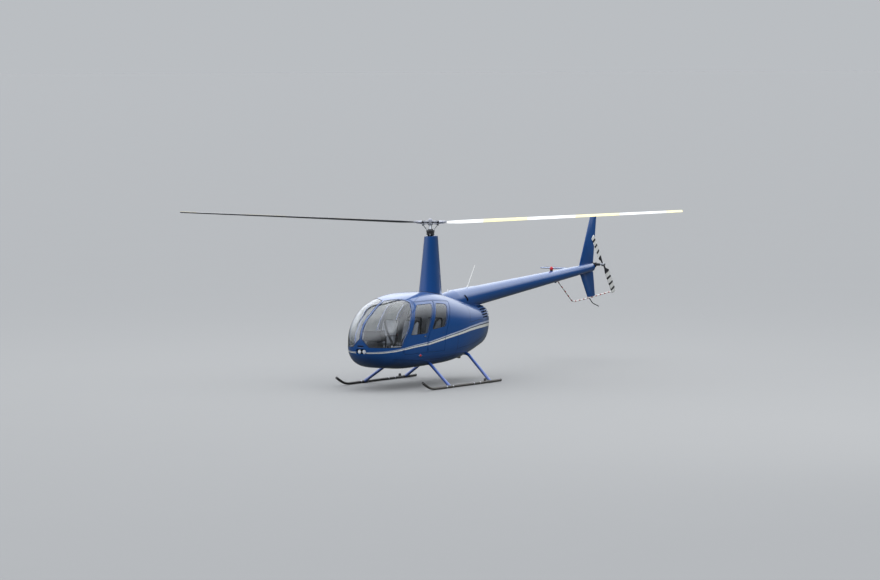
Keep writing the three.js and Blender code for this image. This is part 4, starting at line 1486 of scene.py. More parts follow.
@dataclass
class Plan:
    """The skin's port half, unrolled and divided into triangles that never cross a traced line."""

    skin: Skin
    step: float = 0.028
    line_step: float = 0.012
    clearance: float = 0.4
    traced: list[np.ndarray] = field(default_factory=list)

    def trace(self, *outlines: Outline) -> None:
        """Adds closed lines that the triangles have to follow.

        Args:
            *outlines: The lines.
        """
        for outline in outlines:
            line = denser(outline.corners, self.line_step, loop=True)
            self.traced.append(self.skin.flat(*self.skin.seen(outline.view, line[:, 0], line[:, 1])))

    def cut(self) -> None:
        """Divides the plane: an even grid, without the points close to a traced line, and the lines."""
        skin = self.skin
        length, rise = skin.lengths()[1][-1], skin.girth * np.pi / 2
        across = np.linspace(0, length, round(length / self.step) + 1)
        up = np.linspace(-rise, rise, round(2 * rise / self.step) + 1)
        even = np.stack(np.meshgrid(across, up, indexing="ij"), -1).reshape(-1, 2)
        edge = (even[:, 0] < 1e-9) | (even[:, 0] > length - 1e-9) | (np.abs(even[:, 1]) > rise - 1e-9)
        clear = self.far_from(even, np.concatenate(self.traced), self.clearance * self.step)
        lines = [denser(rectangle(0, -rise, length, rise), self.step, loop=True), *self.traced]
        given = [even[clear & ~edge], *lines]
        starts = np.cumsum([len(part) for part in given])
        edges = np.concatenate([self.ring(len(line), start) for line, start in zip(lines, starts)])
        found = delaunay_2d_cdt(np.concatenate(given).tolist(), edges.tolist(), [], 0, 1e-6, False)
        places = np.array([tuple(place) for place in found[0]])
        self.faces = np.array(found[2])
        s, angle = skin.unflat(places)
        self.points, self.out = skin.point(s, angle), skin.normal(s, angle)
        middle = (np.abs(places[:, 1]) > rise - 1e-6) | (s < 1e-6) | (s > skin.last - 1e-6)
        self.points[middle, 1] = self.out[middle, 1] = 0
        self.out = unit(self.out)
        self.middle = middle
        self.centres = skin.point(*skin.unflat(places[self.faces].mean(1)))

    @staticmethod
    def ring(count: int, start: int) -> np.ndarray:
        """Returns the edges of a closed ring of points."""
        k = np.arange(count)
        return np.stack([k, (k + 1) % count], 1) + start

    @staticmethod
    def far_from(points: np.ndarray, others: np.ndarray, distance: float) -> np.ndarray:
        """Whether points stay clear of all others, by sorting both into cells of that size.

        Args:
            points: The points.
            others: What they stay clear of.
            distance: How far.

        Returns:
            True for each point that stays clear.
        """
        offsets = np.array([(a, b) for a in (-1, 0, 1) for b in (-1, 0, 1)])
        cells = np.floor(others / distance).astype(int)
        taken = np.unique((cells[:, None] + offsets).reshape(-1, 2) @ [SPREADER, 1])
        own = np.floor(points / distance).astype(int) @ [SPREADER, 1]
        return ~np.isin(own, taken)

    @staticmethod
    def open_edges(faces: np.ndarray) -> np.ndarray:
        """Returns the edges that only one of the triangles has, turned as in that triangle.

        Args:
            faces: The triangles.

        Returns:
            The edges, by the numbers of their ends.
        """
        pairs = np.concatenate([faces[:, [0, 1]], faces[:, [1, 2]], faces[:, [2, 0]]])
        key = np.sort(pairs, 1) @ [faces.max() + 1, 1]
        _, first, times = np.unique(key, return_index=True, return_counts=True)
        return pairs[first[times == 1]]

    def border(self, mask: np.ndarray) -> tuple[np.ndarray, np.ndarray]:
        """Returns the points and outward directions round the edge of a patch of triangles, in order.

        Args:
            mask: Which triangles the patch has.

        Returns:
            The points and the directions.
        """
        after = dict(self.open_edges(self.faces[mask]).tolist())
        order = [next(iter(after))]
        while after[order[-1]] != order[0]:
            order.append(after[order[-1]])
        return self.points[order], self.out[order]

    def panel(self, mask: np.ndarray, outer: float, inner: float, paint: Marks = 0, back: int = 0,
              rim: int = 0) -> Form:
        """A closed sheet over some of the triangles, between two depths below the skin.

        Args:
            mask: Which triangles it covers.
            outer: The depth of its outer face.
            inner: The depth of its inner face.
            paint: The finish of its outer face, as one number or one for each triangle of the plan.
            back: The finish of its inner face.
            rim: The finish of its edges.

        Returns:
            The port half. Where it meets the middle of the machine it stays open for its image.
        """
        faces = self.faces[mask]
        used, renamed = np.unique(faces, return_inverse=True)
        faces = renamed.reshape(-1, 3)
        count = len(used)
        edges = self.open_edges(faces)
        a, b = edges[~self.middle[used][edges].all(1)].T
        points, out = self.points[used], self.out[used]
        front = np.broadcast_to(paint, len(self.faces))[mask]
        return Form(
            np.concatenate([points - outer * out, points - inner * out]),
            np.concatenate([faces, faces[:, ::-1] + count]),
            np.stack([b, a, a + count, b + count], 1),
            np.concatenate([front, np.full(len(faces), back)]),
            np.full(len(a), rim),
        )


POD_SKIN = Skin(
    rows=(
        # x, half width, top, bottom, height of the widest line, upper power, lower power
        (2.337, 0.000, 0.880, 0.880, 0.880, 2.2, 2.2),
        (2.315, 0.207, 1.119, 0.705, 0.880, 2.2, 2.3),
        (2.200, 0.399, 1.330, 0.566, 0.885, 2.3, 2.5),
        (1.980, 0.565, 1.508, 0.446, 0.900, 2.6, 2.8),
        (1.700, 0.635, 1.682, 0.412, 0.930, 3.0, 3.0),
        (1.330, 0.638, 1.800, 0.376, 0.960, 3.1, 3.2),
        (0.900, 0.642, 1.850, 0.376, 0.980, 2.8, 3.2),
        (0.300, 0.642, 1.836, 0.388, 1.000, 2.6, 3.2),
        (-0.250, 0.618, 1.738, 0.418, 1.020, 2.4, 3.0),
        (-0.750, 0.536, 1.626, 0.490, 1.060, 2.2, 2.8),
        (-1.250, 0.410, 1.508, 0.600, 1.100, 2.2, 2.6),
        (-1.650, 0.236, 1.465, 0.693, 1.130, 2.2, 2.4),
        (-1.860, 0.110, 1.385, 0.863, 1.150, 2.2, 2.2),
        (-1.950, 0.000, 1.164, 1.164, 1.164, 2.1, 2.1),
    )
)


# The pod: cabin shell, glazing, doors and engine cowl


@dataclass(frozen=True)
class DoorShape:
    """A door's lines in the side view: its edge, its running gaps edge by edge, its window and its hinges."""

    name: str
    edge: tuple
    gaps: tuple
    window: tuple
    hinge_x: float
    hinge_y: float
    hinge_heights: tuple
    latch: tuple
    corner: float = 0.026
    window_corner: float = 0.060

    def outline(self) -> Outline:
        """Returns the door's edge."""
        return Outline(View.SIDE, round_corners(self.edge, self.corner))

    def opening(self) -> Outline:
        """Returns the hole in the shell."""
        return Outline(View.SIDE, round_corners(shrink(np.array(self.edge), -np.array(self.gaps)), self.corner))

    def pane(self, inset: float = 0.0) -> Outline:
        """Returns the window's line, set in by some distance."""
        line = shrink(np.array(self.window), inset)
        return Outline(View.SIDE, round_corners(line, self.window_corner))


FRONT_DOOR = DoorShape(
    name="front",
    edge=((1.002, 0.700), (1.690, 0.700), (1.752, 0.745), (1.752, 0.905), (1.560, 1.150), (1.352, 1.550),
          (1.270, 1.690), (0.604, 1.690), (1.002, 0.950)),
    gaps=(0.006, 0.006, 0.006, 0.006, 0.006, 0.006, 0.006, 0.013, 0.007),
    window=((0.975, 1.078), (1.546, 1.070), (1.487, 1.150), (1.290, 1.550), (1.190, 1.640), (0.680, 1.640)),
    hinge_x=1.757,
    hinge_y=0.628,
    hinge_heights=(0.775, 0.880),
    latch=(1.060, 1.020),
)
REAR_DOOR = DoorShape(
    name="rear",
    edge=((0.410, 0.700), (0.962, 0.700), (0.962, 0.950), (0.564, 1.690), (0.060, 1.640), (0.318, 1.170),
          (0.400, 0.960)),
    gaps=(0.006, 0.006, 0.006, 0.006, 0.014, 0.012, 0.008),
    window=((0.366, 1.181), (0.836, 1.137), (0.546, 1.640), (0.196, 1.600)),
    hinge_x=0.967,
    hinge_y=0.646,
    hinge_heights=(0.765, 0.895),
    latch=(0.455, 1.060),
)


@dataclass
class Pod:
    """The rounded body: its shell, glazing, doors, engine cowl, stripe, seams, seals and hinges."""

    skin: Skin = POD_SKIN
    wall: float = 0.028
    pane_depth: tuple = (0.003, 0.009)
    pane_play: float = 0.0015
    doors: tuple = (FRONT_DOOR, REAR_DOOR)
    windshield_side: tuple = ((1.853, 0.800), (2.600, 0.800), (2.600, 2.200), (1.330, 2.200), (1.330, 1.700),
                              (1.410, 1.550), (1.627, 1.150), (1.758, 0.970))
    windshield_top: tuple = ((1.606, 0.0), (2.600, 0.0), (2.600, 0.900), (1.066, 0.900))
    windshield_front: tuple = ((0.024, 1.030), (0.190, 0.866), (0.900, 0.842), (0.900, 2.200), (0.024, 2.200))
    lamp_hole: tuple = (-0.122, 0.716, 0.122, 0.830)
    lamp_floor: float = 2.190
    lamp_y: float = 0.058
    lamp_z: float = 0.772
    inlet: tuple = (0.070, 0.884)
    light: tuple = (1.200, 0.612, 0.652)
    gutter: tuple = ((1.315, 1.680), (1.282, 1.708), (0.600, 1.710), (0.300, 1.690), (0.060, 1.660))
    ridge: tuple = ((1.300, 0.484), (1.239, 0.469), (0.892, 0.360), (0.435, 0.298), (0.330, 0.230))
    stripe_top: tuple = ((2.400, 0.766), (2.317, 0.772), (2.143, 0.786), (1.863, 0.820), (1.513, 0.864),
                         (0.917, 0.908), (0.241, 1.009), (-0.538, 1.111), (-1.036, 1.150), (-1.400, 1.158),
                         (-1.810, 1.150), (-2.000, 1.146))
    stripe_bottom: tuple = ((2.400, 0.735), (2.317, 0.740), (2.143, 0.750), (1.863, 0.781), (1.513, 0.814),
                            (0.917, 0.846), (0.241, 0.935), (-0.538, 1.021), (-1.036, 1.045), (-1.400, 1.045),
                            (-1.810, 1.033), (-2.000, 1.028))
    stripe_bands: tuple = ((0.0, 0.32, 1), (0.32, 0.50, 2), (0.50, 1.0, 3))
    louvre_count: int = 5
    louvre_first: float = 1.230
    louvre_pitch: float = 0.050
    louvre_height: float = 0.025
    louvre_front: float = -1.270
    rib: float = 0.024
    seam: float = 0.007
    # Depths and heights of the near-black sheet behind the louvres, which is painted shade of the engine bay
    shade_sheet_depth: tuple = (0.030, 0.034)
    shade_sheet_height: tuple = (1.19, 1.50)
    screw: tuple = (0.0036, 0.0014)
    screw_pitch: float = 0.055
    paints: tuple = (Coat.BLUE, Coat.SILVER, Coat.SEAM, Coat.CREAM, Coat.SEAM, Coat.LINING, Coat.SHADE_BLACK, Coat.METAL)

    def __post_init__(self) -> None:
        """Draws the outlines and cuts the plan along them."""
        self.screen = [Outline(view, np.array(corners), FRONT_PART)
                       for view, corners in ((View.SIDE, self.windshield_side), (View.TOP, self.windshield_top),
                                             (View.FRONT, self.windshield_front))]
        self.lamp_edge = round_corners(rectangle(*self.lamp_hole), 0.048)
        self.lamp = Outline(View.FRONT, np.maximum(self.lamp_edge, 0.0), FRONT_PART)
        self.louvres = [side_view(rectangle(self.louvre_front, z, -2.1, z + self.louvre_height))
                        for z in self.louvre_first + self.louvre_pitch * np.arange(self.louvre_count)]
        self.ribs = Outline(View.TOP, rectangle(-2.1, -0.1, -1.2, self.rib))
        self.split = side_view(rectangle(-3, -1, 0, 4))
        self.bands = [(self.band(top, bottom), number) for top, bottom, number in self.stripe_bands]
        self.seams = [ribbon(line, self.seam) for line in self.seam_lines()]
        self.notches = {door.name: self.hinge_notches(door) for door in self.doors}
        self.plan = Plan(self.skin)
        self.plan.trace(*self.screen, *(line.grown(-self.pane_play) for line in self.screen), self.lamp)
        for door in self.doors:
            self.plan.trace(door.opening(), door.outline(), door.pane(), door.pane(self.pane_play))
            self.plan.trace(*self.notches[door.name][0], *self.notches[door.name][1])
        self.plan.trace(*self.louvres, self.ribs, self.split, *(band for band, _ in self.bands), *self.seams)
        self.plan.cut()
        self.paint = np.zeros(len(self.plan.faces), int)
        for line, number in (*self.bands, *((line, 4) for line in self.seams)):
            self.paint[line.holds(self.plan.centres)] = number

    def band(self, top: float, bottom: float) -> Outline:
        """Returns the part of the stripe between two shares of its height."""
        upper, lower = np.array(self.stripe_top), np.array(self.stripe_bottom)
        return side_view(np.concatenate([upper + top * (lower - upper), (upper + bottom * (lower - upper))[::-1]]))

    @staticmethod
    def seam_lines() -> list:
        """Returns the joints between the shell's panels, in the side view.

        Returns:
            The lines.
        """
        return [
            [(-0.640, 1.600), (-0.690, 1.466), (-0.640, 1.340), (-0.560, 1.190)],
            [(-0.560, 1.190), (-1.000, 1.215), (-1.230, 1.205)],
            [(-0.050, 1.040), (-0.050, 0.560), (-0.090, 0.430)],
            [(-0.060, 0.700), (-0.800, 0.760), (-1.300, 0.860), (-1.560, 0.940)],
            [(1.990, 0.620), (1.300, 0.560), (0.400, 0.540), (-0.050, 0.560)],
        ]

    def hinge_notches(self, door: DoorShape) -> tuple[list[Outline], list[Outline]]:
        """Returns the room that each side of the hinge leaves for the other: in the frame, and in the door.

        Args:
            door: The door.

        Returns:
            The frame's notches and the door's.
        """
        x = door.hinge_x
        frame, leaf = [], []
        for z in door.hinge_heights:
            frame.append(side_view(rectangle(x - 0.003, z - 0.0105, x + 0.0075, z + 0.0105)))
            for low, high in ((z + 0.0085, z + 0.0235), (z - 0.0235, z - 0.0085)):
                leaf.append(side_view(rectangle(x - 0.0075, low, x, high)))
        return frame, leaf

    def covered(self, outlines: Sequence[Outline]) -> np.ndarray:
        """Whether the plan's triangles lie within any of several lines."""
        return np.any([line.holds(self.plan.centres) for line in outlines], 0)

    def screened(self, inset: float = 0.0) -> np.ndarray:
        """Whether the plan's triangles lie within the windshield's opening, set in by some distance."""
        return np.all([line.grown(-inset).holds(self.plan.centres) for line in self.screen], 0)

    def build(self, machine: Machine) -> None:
        """Adds the shell, the glazing, the doors and the cowl.

        Args:
            machine: The machine.
        """
        self.shell(machine)
        self.glazing(machine)
        for door in self.doors:
            self.door(machine, door)
        self.cowl(machine)
        self.trim(machine)
        self.lamps(machine)
        self.position_lights(machine)

    def skin_piece(self, machine: Machine, name: str, form: Form, coats: Coat | Sequence[Coat],
                   **options: object) -> bpy.types.Object:
        """Adds a piece whose sheets take the skin's own directions for their shading.

        Args:
            machine: The machine.
            name: The piece's name.
            form: Its points and faces.
            coats: Its finishes.
            **options: What else Machine.add takes.

        Returns:
            The object.
        """
        piece = machine.add(name, form, coats, **options)
        machine.smooth_to(piece, self.skin.normals_at)
        return piece

    def shell(self, machine: Machine) -> None:
        """Adds the cabin shell with the hinges' frame knuckles.

        Args:
            machine: The machine.
        """
        centres = self.plan.centres
        holes = [door.opening() for door in self.doors] + [n for door in self.doors for n in self.notches[door.name][0]]
        mask = (centres[:, 0] > 0) & ~self.screened() & ~self.covered(holes) & ~self.lamp.holds(centres)
        sheet = self.plan.panel(mask, 0.0, self.wall, self.paint, back=5)
        knuckles = join(self.knuckle(door, z, side) for door in self.doors for z in door.hinge_heights
                        for side in (1, -1))
        self.skin_piece(machine, "shell_skin", mirror_pair(join(sheet, knuckles)), self.paints,
                        replaces=("cabin_shell",), slot="body_paint")

    def knuckle(self, door: DoorShape, z: float, part: int) -> Form:
        """Half of a hinge. Part 1 is the frame's upper knuckle, -1 its lower one and 0 the door's own.

        Args:
            door: The door.
            z: The hinge's height.
            part: 1, -1 or 0.

        Returns:
            The knuckle with its leaf.
        """
        low, high = {1: (0.0095, 0.022), -1: (-0.022, -0.0095), 0: (-0.009, 0.009)}[part]
        x, y, reach = door.hinge_x, door.hinge_y, -0.024 if part == 0 else 0.024
        barrel = lathe([(low, 0.0045), (low + 0.0015, 0.006), (high - 0.0015, 0.006), (high, 0.0045)], (x, y, z),
                       sides=16)
        ends = sorted((x, x + reach))
        return join(barrel, block((ends[0], y - 0.016, z + low), (ends[1], y + 0.002, z + high), 0.001, 0.002))

    def glazing(self, machine: Machine) -> None:
        """Adds the windshield's two panes.

        Args:
            machine: The machine.
        """
        pane = self.plan.panel(self.screened(self.pane_play), *self.pane_depth)
        for name, side in SIDES:
            self.skin_piece(machine, f"windshield_pane_{name}", pane.on_side(side), Coat.GLASS,
                            replaces=(f"windshield_{name}",), slot="glazing")

    def door(self, machine: Machine, door: DoorShape) -> None:
        """Adds a pair of doors, each with its window, seal, latch and hinge.

        Args:
            machine: The machine.
            door: The door.
        """
        centres = self.plan.centres
        mask = door.outline().holds(centres) & ~door.pane().holds(centres) & ~self.covered(self.notches[door.name][1])
        leaf = join(self.plan.panel(mask, 0.0, self.wall, self.paint, back=5),
                    *(self.knuckle(door, z, 0) for z in door.hinge_heights), self.latch(door))
        pane = self.plan.panel(door.pane(self.pane_play).holds(centres), *self.pane_depth)
        seal = self.seal(door.pane(), 0.0045, 0.0015)
        for name, side in SIDES:
            body = f"door_{door.name}_{name}"
            self.skin_piece(machine, f"{body}_leaf", leaf.on_side(side), self.paints, body=body,
                            replaces=(body,), slot="body_paint")
            self.skin_piece(machine, f"{body}_pane", pane.on_side(side), Coat.GLASS, body=body,
                            replaces=(f"window_{door.name}_{name}",), slot="glazing")
            machine.add(f"{body}_seal", seal.on_side(side), Coat.RUBBER, body=body)

    def latch(self, door: DoorShape) -> Form:
        """A latch lever on its round plate, near the door's rear edge.

        Args:
            door: The door.

        Returns:
            The latch.
        """
        point, out = (part[0] for part in self.skin.along([door.latch, (door.latch[0] + 0.02, door.latch[1])]))
        ahead = unit(np.cross(np.cross(out, AHEAD), out))
        place = frame_matrix(point, ahead, np.cross(out, ahead), out)
        finish = 7 if door is self.doors[0] else 0
        plate = lathe([(-0.004, 0.016), (0.001, 0.016), (0.0025, 0.014)], sides=24, finish=finish)
        lever = slab(View.TOP, [(-0.008, -0.007), (0.048, -0.005), (0.048, 0.005), (-0.008, 0.007)], 0.001, 0.008,
                     0.002, finish, corner=0.005)
        return join(plate, lever).moved(place)

    def seal(self, line: Outline, half: float, sunk: float) -> Form:
        """A rubber strip round an opening."""
        path, out = self.skin.on(line, 0.015, sunk)
        return sweep(path, circle(8, half, 0.55), side=out, loop=True)

    def cowl(self, machine: Machine) -> None:
        """Adds the engine cowl with its louvres, and a near-black sheet behind them and on its inside as painted shade
        of the engine bay.

        Args:
            machine: The machine.
        """
        centres = self.plan.centres
        slots = self.covered(self.louvres) & ~self.ribs.holds(centres)
        cowl = mirror_pair(self.plan.panel((centres[:, 0] < 0) & ~slots, 0.0, self.wall, self.paint, back=6))
        low, high = self.shade_sheet_height
        # A near-black sheet behind the louvres: painted shade of the engine bay
        behind = (centres[:, 0] < self.louvre_front + 0.03) & (centres[:, 2] > low) & (centres[:, 2] < high)
        shade_sheet = mirror_pair(self.plan.panel(behind, *self.shade_sheet_depth, 6, back=6, rim=6))
        self.skin_piece(machine, "cowl_skin", join(cowl, shade_sheet), self.paints, replaces=("engine_cowl",),
                        slot="body_paint")

    def trim(self, machine: Machine) -> None:
        """Adds the windshield's seals, the gutters, the ridges on the roof and the screws along the seams.

        Args:
            machine: The machine.
        """
        path, out = self.plan.border(self.screened())
        seal = sweep(path - 0.001 * out, circle(8, 0.0060, 0.55), side=out, loop=True)
        machine.add("windshield_seals", mirror_pair(seal), Coat.RUBBER)
        path, out = self.skin.along(self.gutter)
        gutter = sweep(path, circle(8, 0.0065, 0.7), side=out)
        line = denser(self.ridge, 0.03)
        s, angle = self.skin.seen(View.TOP, line[:, 0], line[:, 1])
        path, out = self.skin.point(s, angle), self.skin.normal(s, angle)
        ridge = sweep(path, circle(8, 0.011, 0.5), side=out)
        heads = []
        for line in self.seam_lines():
            path, out = self.skin.along(np.array(line) - [0, 0.016], self.screw_pitch)
            heads.append(studs(path, out, *self.screw))
        machine.add("roof_gutters", mirror_pair(join(gutter, ridge)), Coat.BLUE)
        machine.add("seam_screws", mirror_pair(join(heads)), Coat.BLUE)

    def lamps(self, machine: Machine) -> None:
        """Adds the nose lamps: a dark tray that ends on the skin, and two bowls with bezels, bulbs and lenses.

        Args:
            machine: The machine.
        """
        edge = denser(shrink(self.lamp_edge, 0.001), 0.012, loop=True)
        wide = edge + 0.005 * unit(edge - [0, (self.lamp_hole[1] + self.lamp_hole[3]) / 2])
        front = [self.on_nose(edge, 0.003), self.on_nose(wide, 0.007)]
        back = [np.column_stack([np.full(len(edge), x), line]) for x, line in ((self.lamp_floor, edge),
                                                                               (self.lamp_floor - 0.004, wide))]
        tray = join(grid(np.stack([back[0], *front, back[1]]), around=True), disc(back[0]), disc(back[1]))
        bowls, lenses = [], []
        for y in (-self.lamp_y, self.lamp_y):
            at, z = (0, y, self.lamp_z), self.lamp_z
            bowls.append(lathe([(2.203, 0), (2.203, 0.020), (2.235, 0.041), (2.283, 0.044), (2.288, 0.044),
                                (2.288, 0.040), (2.240, 0.036), (2.214, 0.018), (2.211, 0)], at, AHEAD, 36, 1))
            bezel = ring_of(View.FRONT, (2.292, y, z), 36, 0.0425)
            bowls.append(tube(bezel, 0.0035, 10, side=AHEAD, loop=True, finish=2))
            bowls.append(lathe([(2.210, 0.010), (2.236, 0.012), (2.252, 0.026), (2.262, 0.026), (2.272, 0.016),
                                (2.275, 0)], at, AHEAD, 24, 3))
            lenses.append(lathe([(2.292, 0), (2.292, 0.0395), (2.298, 0.0395), (2.306, 0.030), (2.311, 0.015),
                                 (2.313, 0)], at, AHEAD, 36))
        machine.add("nose_lamps", join(tray, bowls), (Coat.BLUE, Coat.BRIGHT, Coat.METAL, Coat.LAMP),
                    replaces=("landing_lights",))
        y = np.linspace(-self.inlet[0], self.inlet[0], 25)
        strips = []
        # The flat near-black strip between the two blue ridges is painted shadow under the inlet's hood
        for z, half, squash, finish in ((self.inlet[1], 0.015, 0.2, 1), (self.inlet[1] + 0.017, 0.0045, 0.9, 0),
                                        (self.inlet[1] - 0.024, 0.009, 0.6, 0)):
            line = np.stack([y, np.full(25, z)], 1)
            path = self.on_nose(line, 0.0)
            out = unit(path - self.on_nose(line, 0.01))
            strips.append(sweep(path, circle(10, half, squash), side=out, finish=finish))
        machine.add("nose_inlet", join(strips), (Coat.BLUE, Coat.SHADE_BLACK))
        machine.add("nose_lamp_lenses", join(lenses), Coat.LENS, slot="lamp_lens")

    def on_nose(self, line: np.ndarray, sunk: float) -> np.ndarray:
        """Returns the points of the skin at (y, z) in the front view, on both sides, sunk below it.

        Args:
            line: The points (y, z).
            sunk: How far below the skin.

        Returns:
            The points.
        """
        s, angle = self.skin.seen(View.FRONT, np.abs(line[:, 0]), line[:, 1])
        points = self.skin.point(s, angle) - sunk * self.skin.normal(s, angle)
        return points * np.column_stack([np.ones(len(line)), np.where(line[:, 0] < 0, -1, 1), np.ones(len(line))])

    def position_lights(self, machine: Machine) -> None:
        """Adds a red light to port and a green one to starboard, each an oval dome on a flange with two screws.

        Args:
            machine: The machine.
        """
        x, y, z = self.light
        flange = slab(View.SIDE, rectangle(x - 0.046, z - 0.026, x + 0.046, z + 0.026), y - 0.012, y + 0.001, 0.002,
                      corner=0.020)
        screws = studs([(x - 0.039, y + 0.001, z), (x + 0.039, y + 0.001, z)], PORT, 0.004, 0.0016, finish=1)
        bulb = lathe([(-0.002, 0.008), (0.006, 0.008), (0.009, 0.004), (0.009, 0)], (x, y, z), PORT, 16, 1)
        dome = lathe([(-0.002, 0.030), (0.002, 0.030), (0.008, 0.027), (0.013, 0.020), (0.016, 0.010), (0.017, 0)],
                     (0, 0, 0), PORT, 32).moved(frame_matrix((x, y, z), AHEAD, PORT, (0, 0, 0.68)))
        for name, side in SIDES:
            machine.add(f"nav_light_{name}_foot", join(flange, screws, bulb).on_side(side), (Coat.METAL, Coat.BRIGHT))
            colour, coat = ("red", Coat.RED_LENS) if side > 0 else ("green", Coat.GREEN_LENS)
            machine.add(f"nav_light_{name}_lens", dome.on_side(side), coat, replaces=(f"nav_light_{name}",),
                        slot=f"{colour}_lens")


# Cabin


def pillow(length: float, width: float, thick: float, power: float = 5.0) -> Form:
    """A soft block round the origin, flat side down.

    Its outline |2x / length|^n + |2y / width|^n = 1 shrinks by cos(v)^0.4 while z = 0.5 thick sin(v)^0.7.

    Args:
        length: Its size along x.
        width: Its size along y.
        thick: Its size along z.
        power: How square its outline is.

    Returns:
        The block.
    """
    c, s = circle(PILLOW_COLUMNS).T
    reach = 0.5 * (np.abs(c) ** power + np.abs(s) ** power) ** (-1 / power)
    v = np.linspace(-np.pi / 2, np.pi / 2, PILLOW_ROWS)[:, None]
    share = np.abs(np.cos(v)) ** 0.4
    rise = thick / 2 * np.sign(np.sin(v)) * np.abs(np.sin(v)) ** 0.7
    points = np.broadcast_arrays(length * c * reach * share, width * s * reach * share, rise)
    return grid(np.stack(points, -1), around=True)


def puffed(form: Form, voxel: float = 0.006, pressure: float = 4.0, cap: float = 0.024) -> Form:
    """A closed form swollen as cloth by air inside it, with no point moved further than the cap.

    Its lowest plane stays flat, where it rests.

    Args:
        form: The closed form.
        voxel: The size of the even mesh that swells.
        pressure: The pressure inside.
        cap: The longest move of a point.

    Returns:
        The swollen form.
    """
    scene, start = bpy.context.scene, bpy.data.meshes.new("pad")
    start.from_pydata(form.points, [], form.faces())
    pad = placed("pad", start)

    def current() -> bpy.types.Mesh:
        """Returns the pad's mesh as its modifier leaves it."""
        return bpy.data.meshes.new_from_object(pad.evaluated_get(bpy.context.evaluated_depsgraph_get()))

    voxels = pad.modifiers.new("voxels", "REMESH")
    voxels.mode, voxels.voxel_size = "VOXEL", voxel
    even = current()
    pad.modifiers.clear()
    pad.data = even
    cloth = pad.modifiers.new("cloth", "CLOTH")
    cloth.settings.use_pressure = True
    cloth.settings.uniform_pressure_force = pressure
    cloth.settings.effector_weights.gravity = 0.0
    cloth.point_cache.frame_start, cloth.point_cache.frame_end = 1, CLOTH_FRAMES
    for frame in range(1, CLOTH_FRAMES + 1):
        scene.frame_set(frame)
    still, moved = read(even.vertices, "co", 3), read(current().vertices, "co", 3)
    scene.frame_set(1)
    quads = read(even.loops, "vertex_index", kind=int)
    bpy.data.objects.remove(pad)
    step = moved - still
    size = np.linalg.norm(step, axis=1, keepdims=True)
    points = still + step * np.minimum(1, cap / np.maximum(size, 1e-9))
    points[:, 2] = np.maximum(points[:, 2], form.points[:, 2].min())
    return Form.of(points, quads=quads.reshape(-1, 4))


def laid(tree: BVHTree, path: np.ndarray, lift: float) -> tuple[np.ndarray, np.ndarray]:
    """Moves a path onto the nearest places of a surface, lifted off it, and returns it with its directions.

    Args:
        tree: The surface.
        path: The path near it.
        lift: How far it comes to lie off the surface.

    Returns:
        The path and its outward directions.
    """
    found = [tree.find_nearest(point) for point in path.tolist()]
    out = np.array([tuple(place[1]) for place in found])
    points = np.array([tuple(place[0]) for place in found]) + lift * out
    for _ in range(3):
        points[1:-1] = (points[:-2] + 2 * points[1:-1] + points[2:]) / 4
        out[1:-1] = unit(out[:-2] + 2 * out[1:-1] + out[2:])
    return points, out


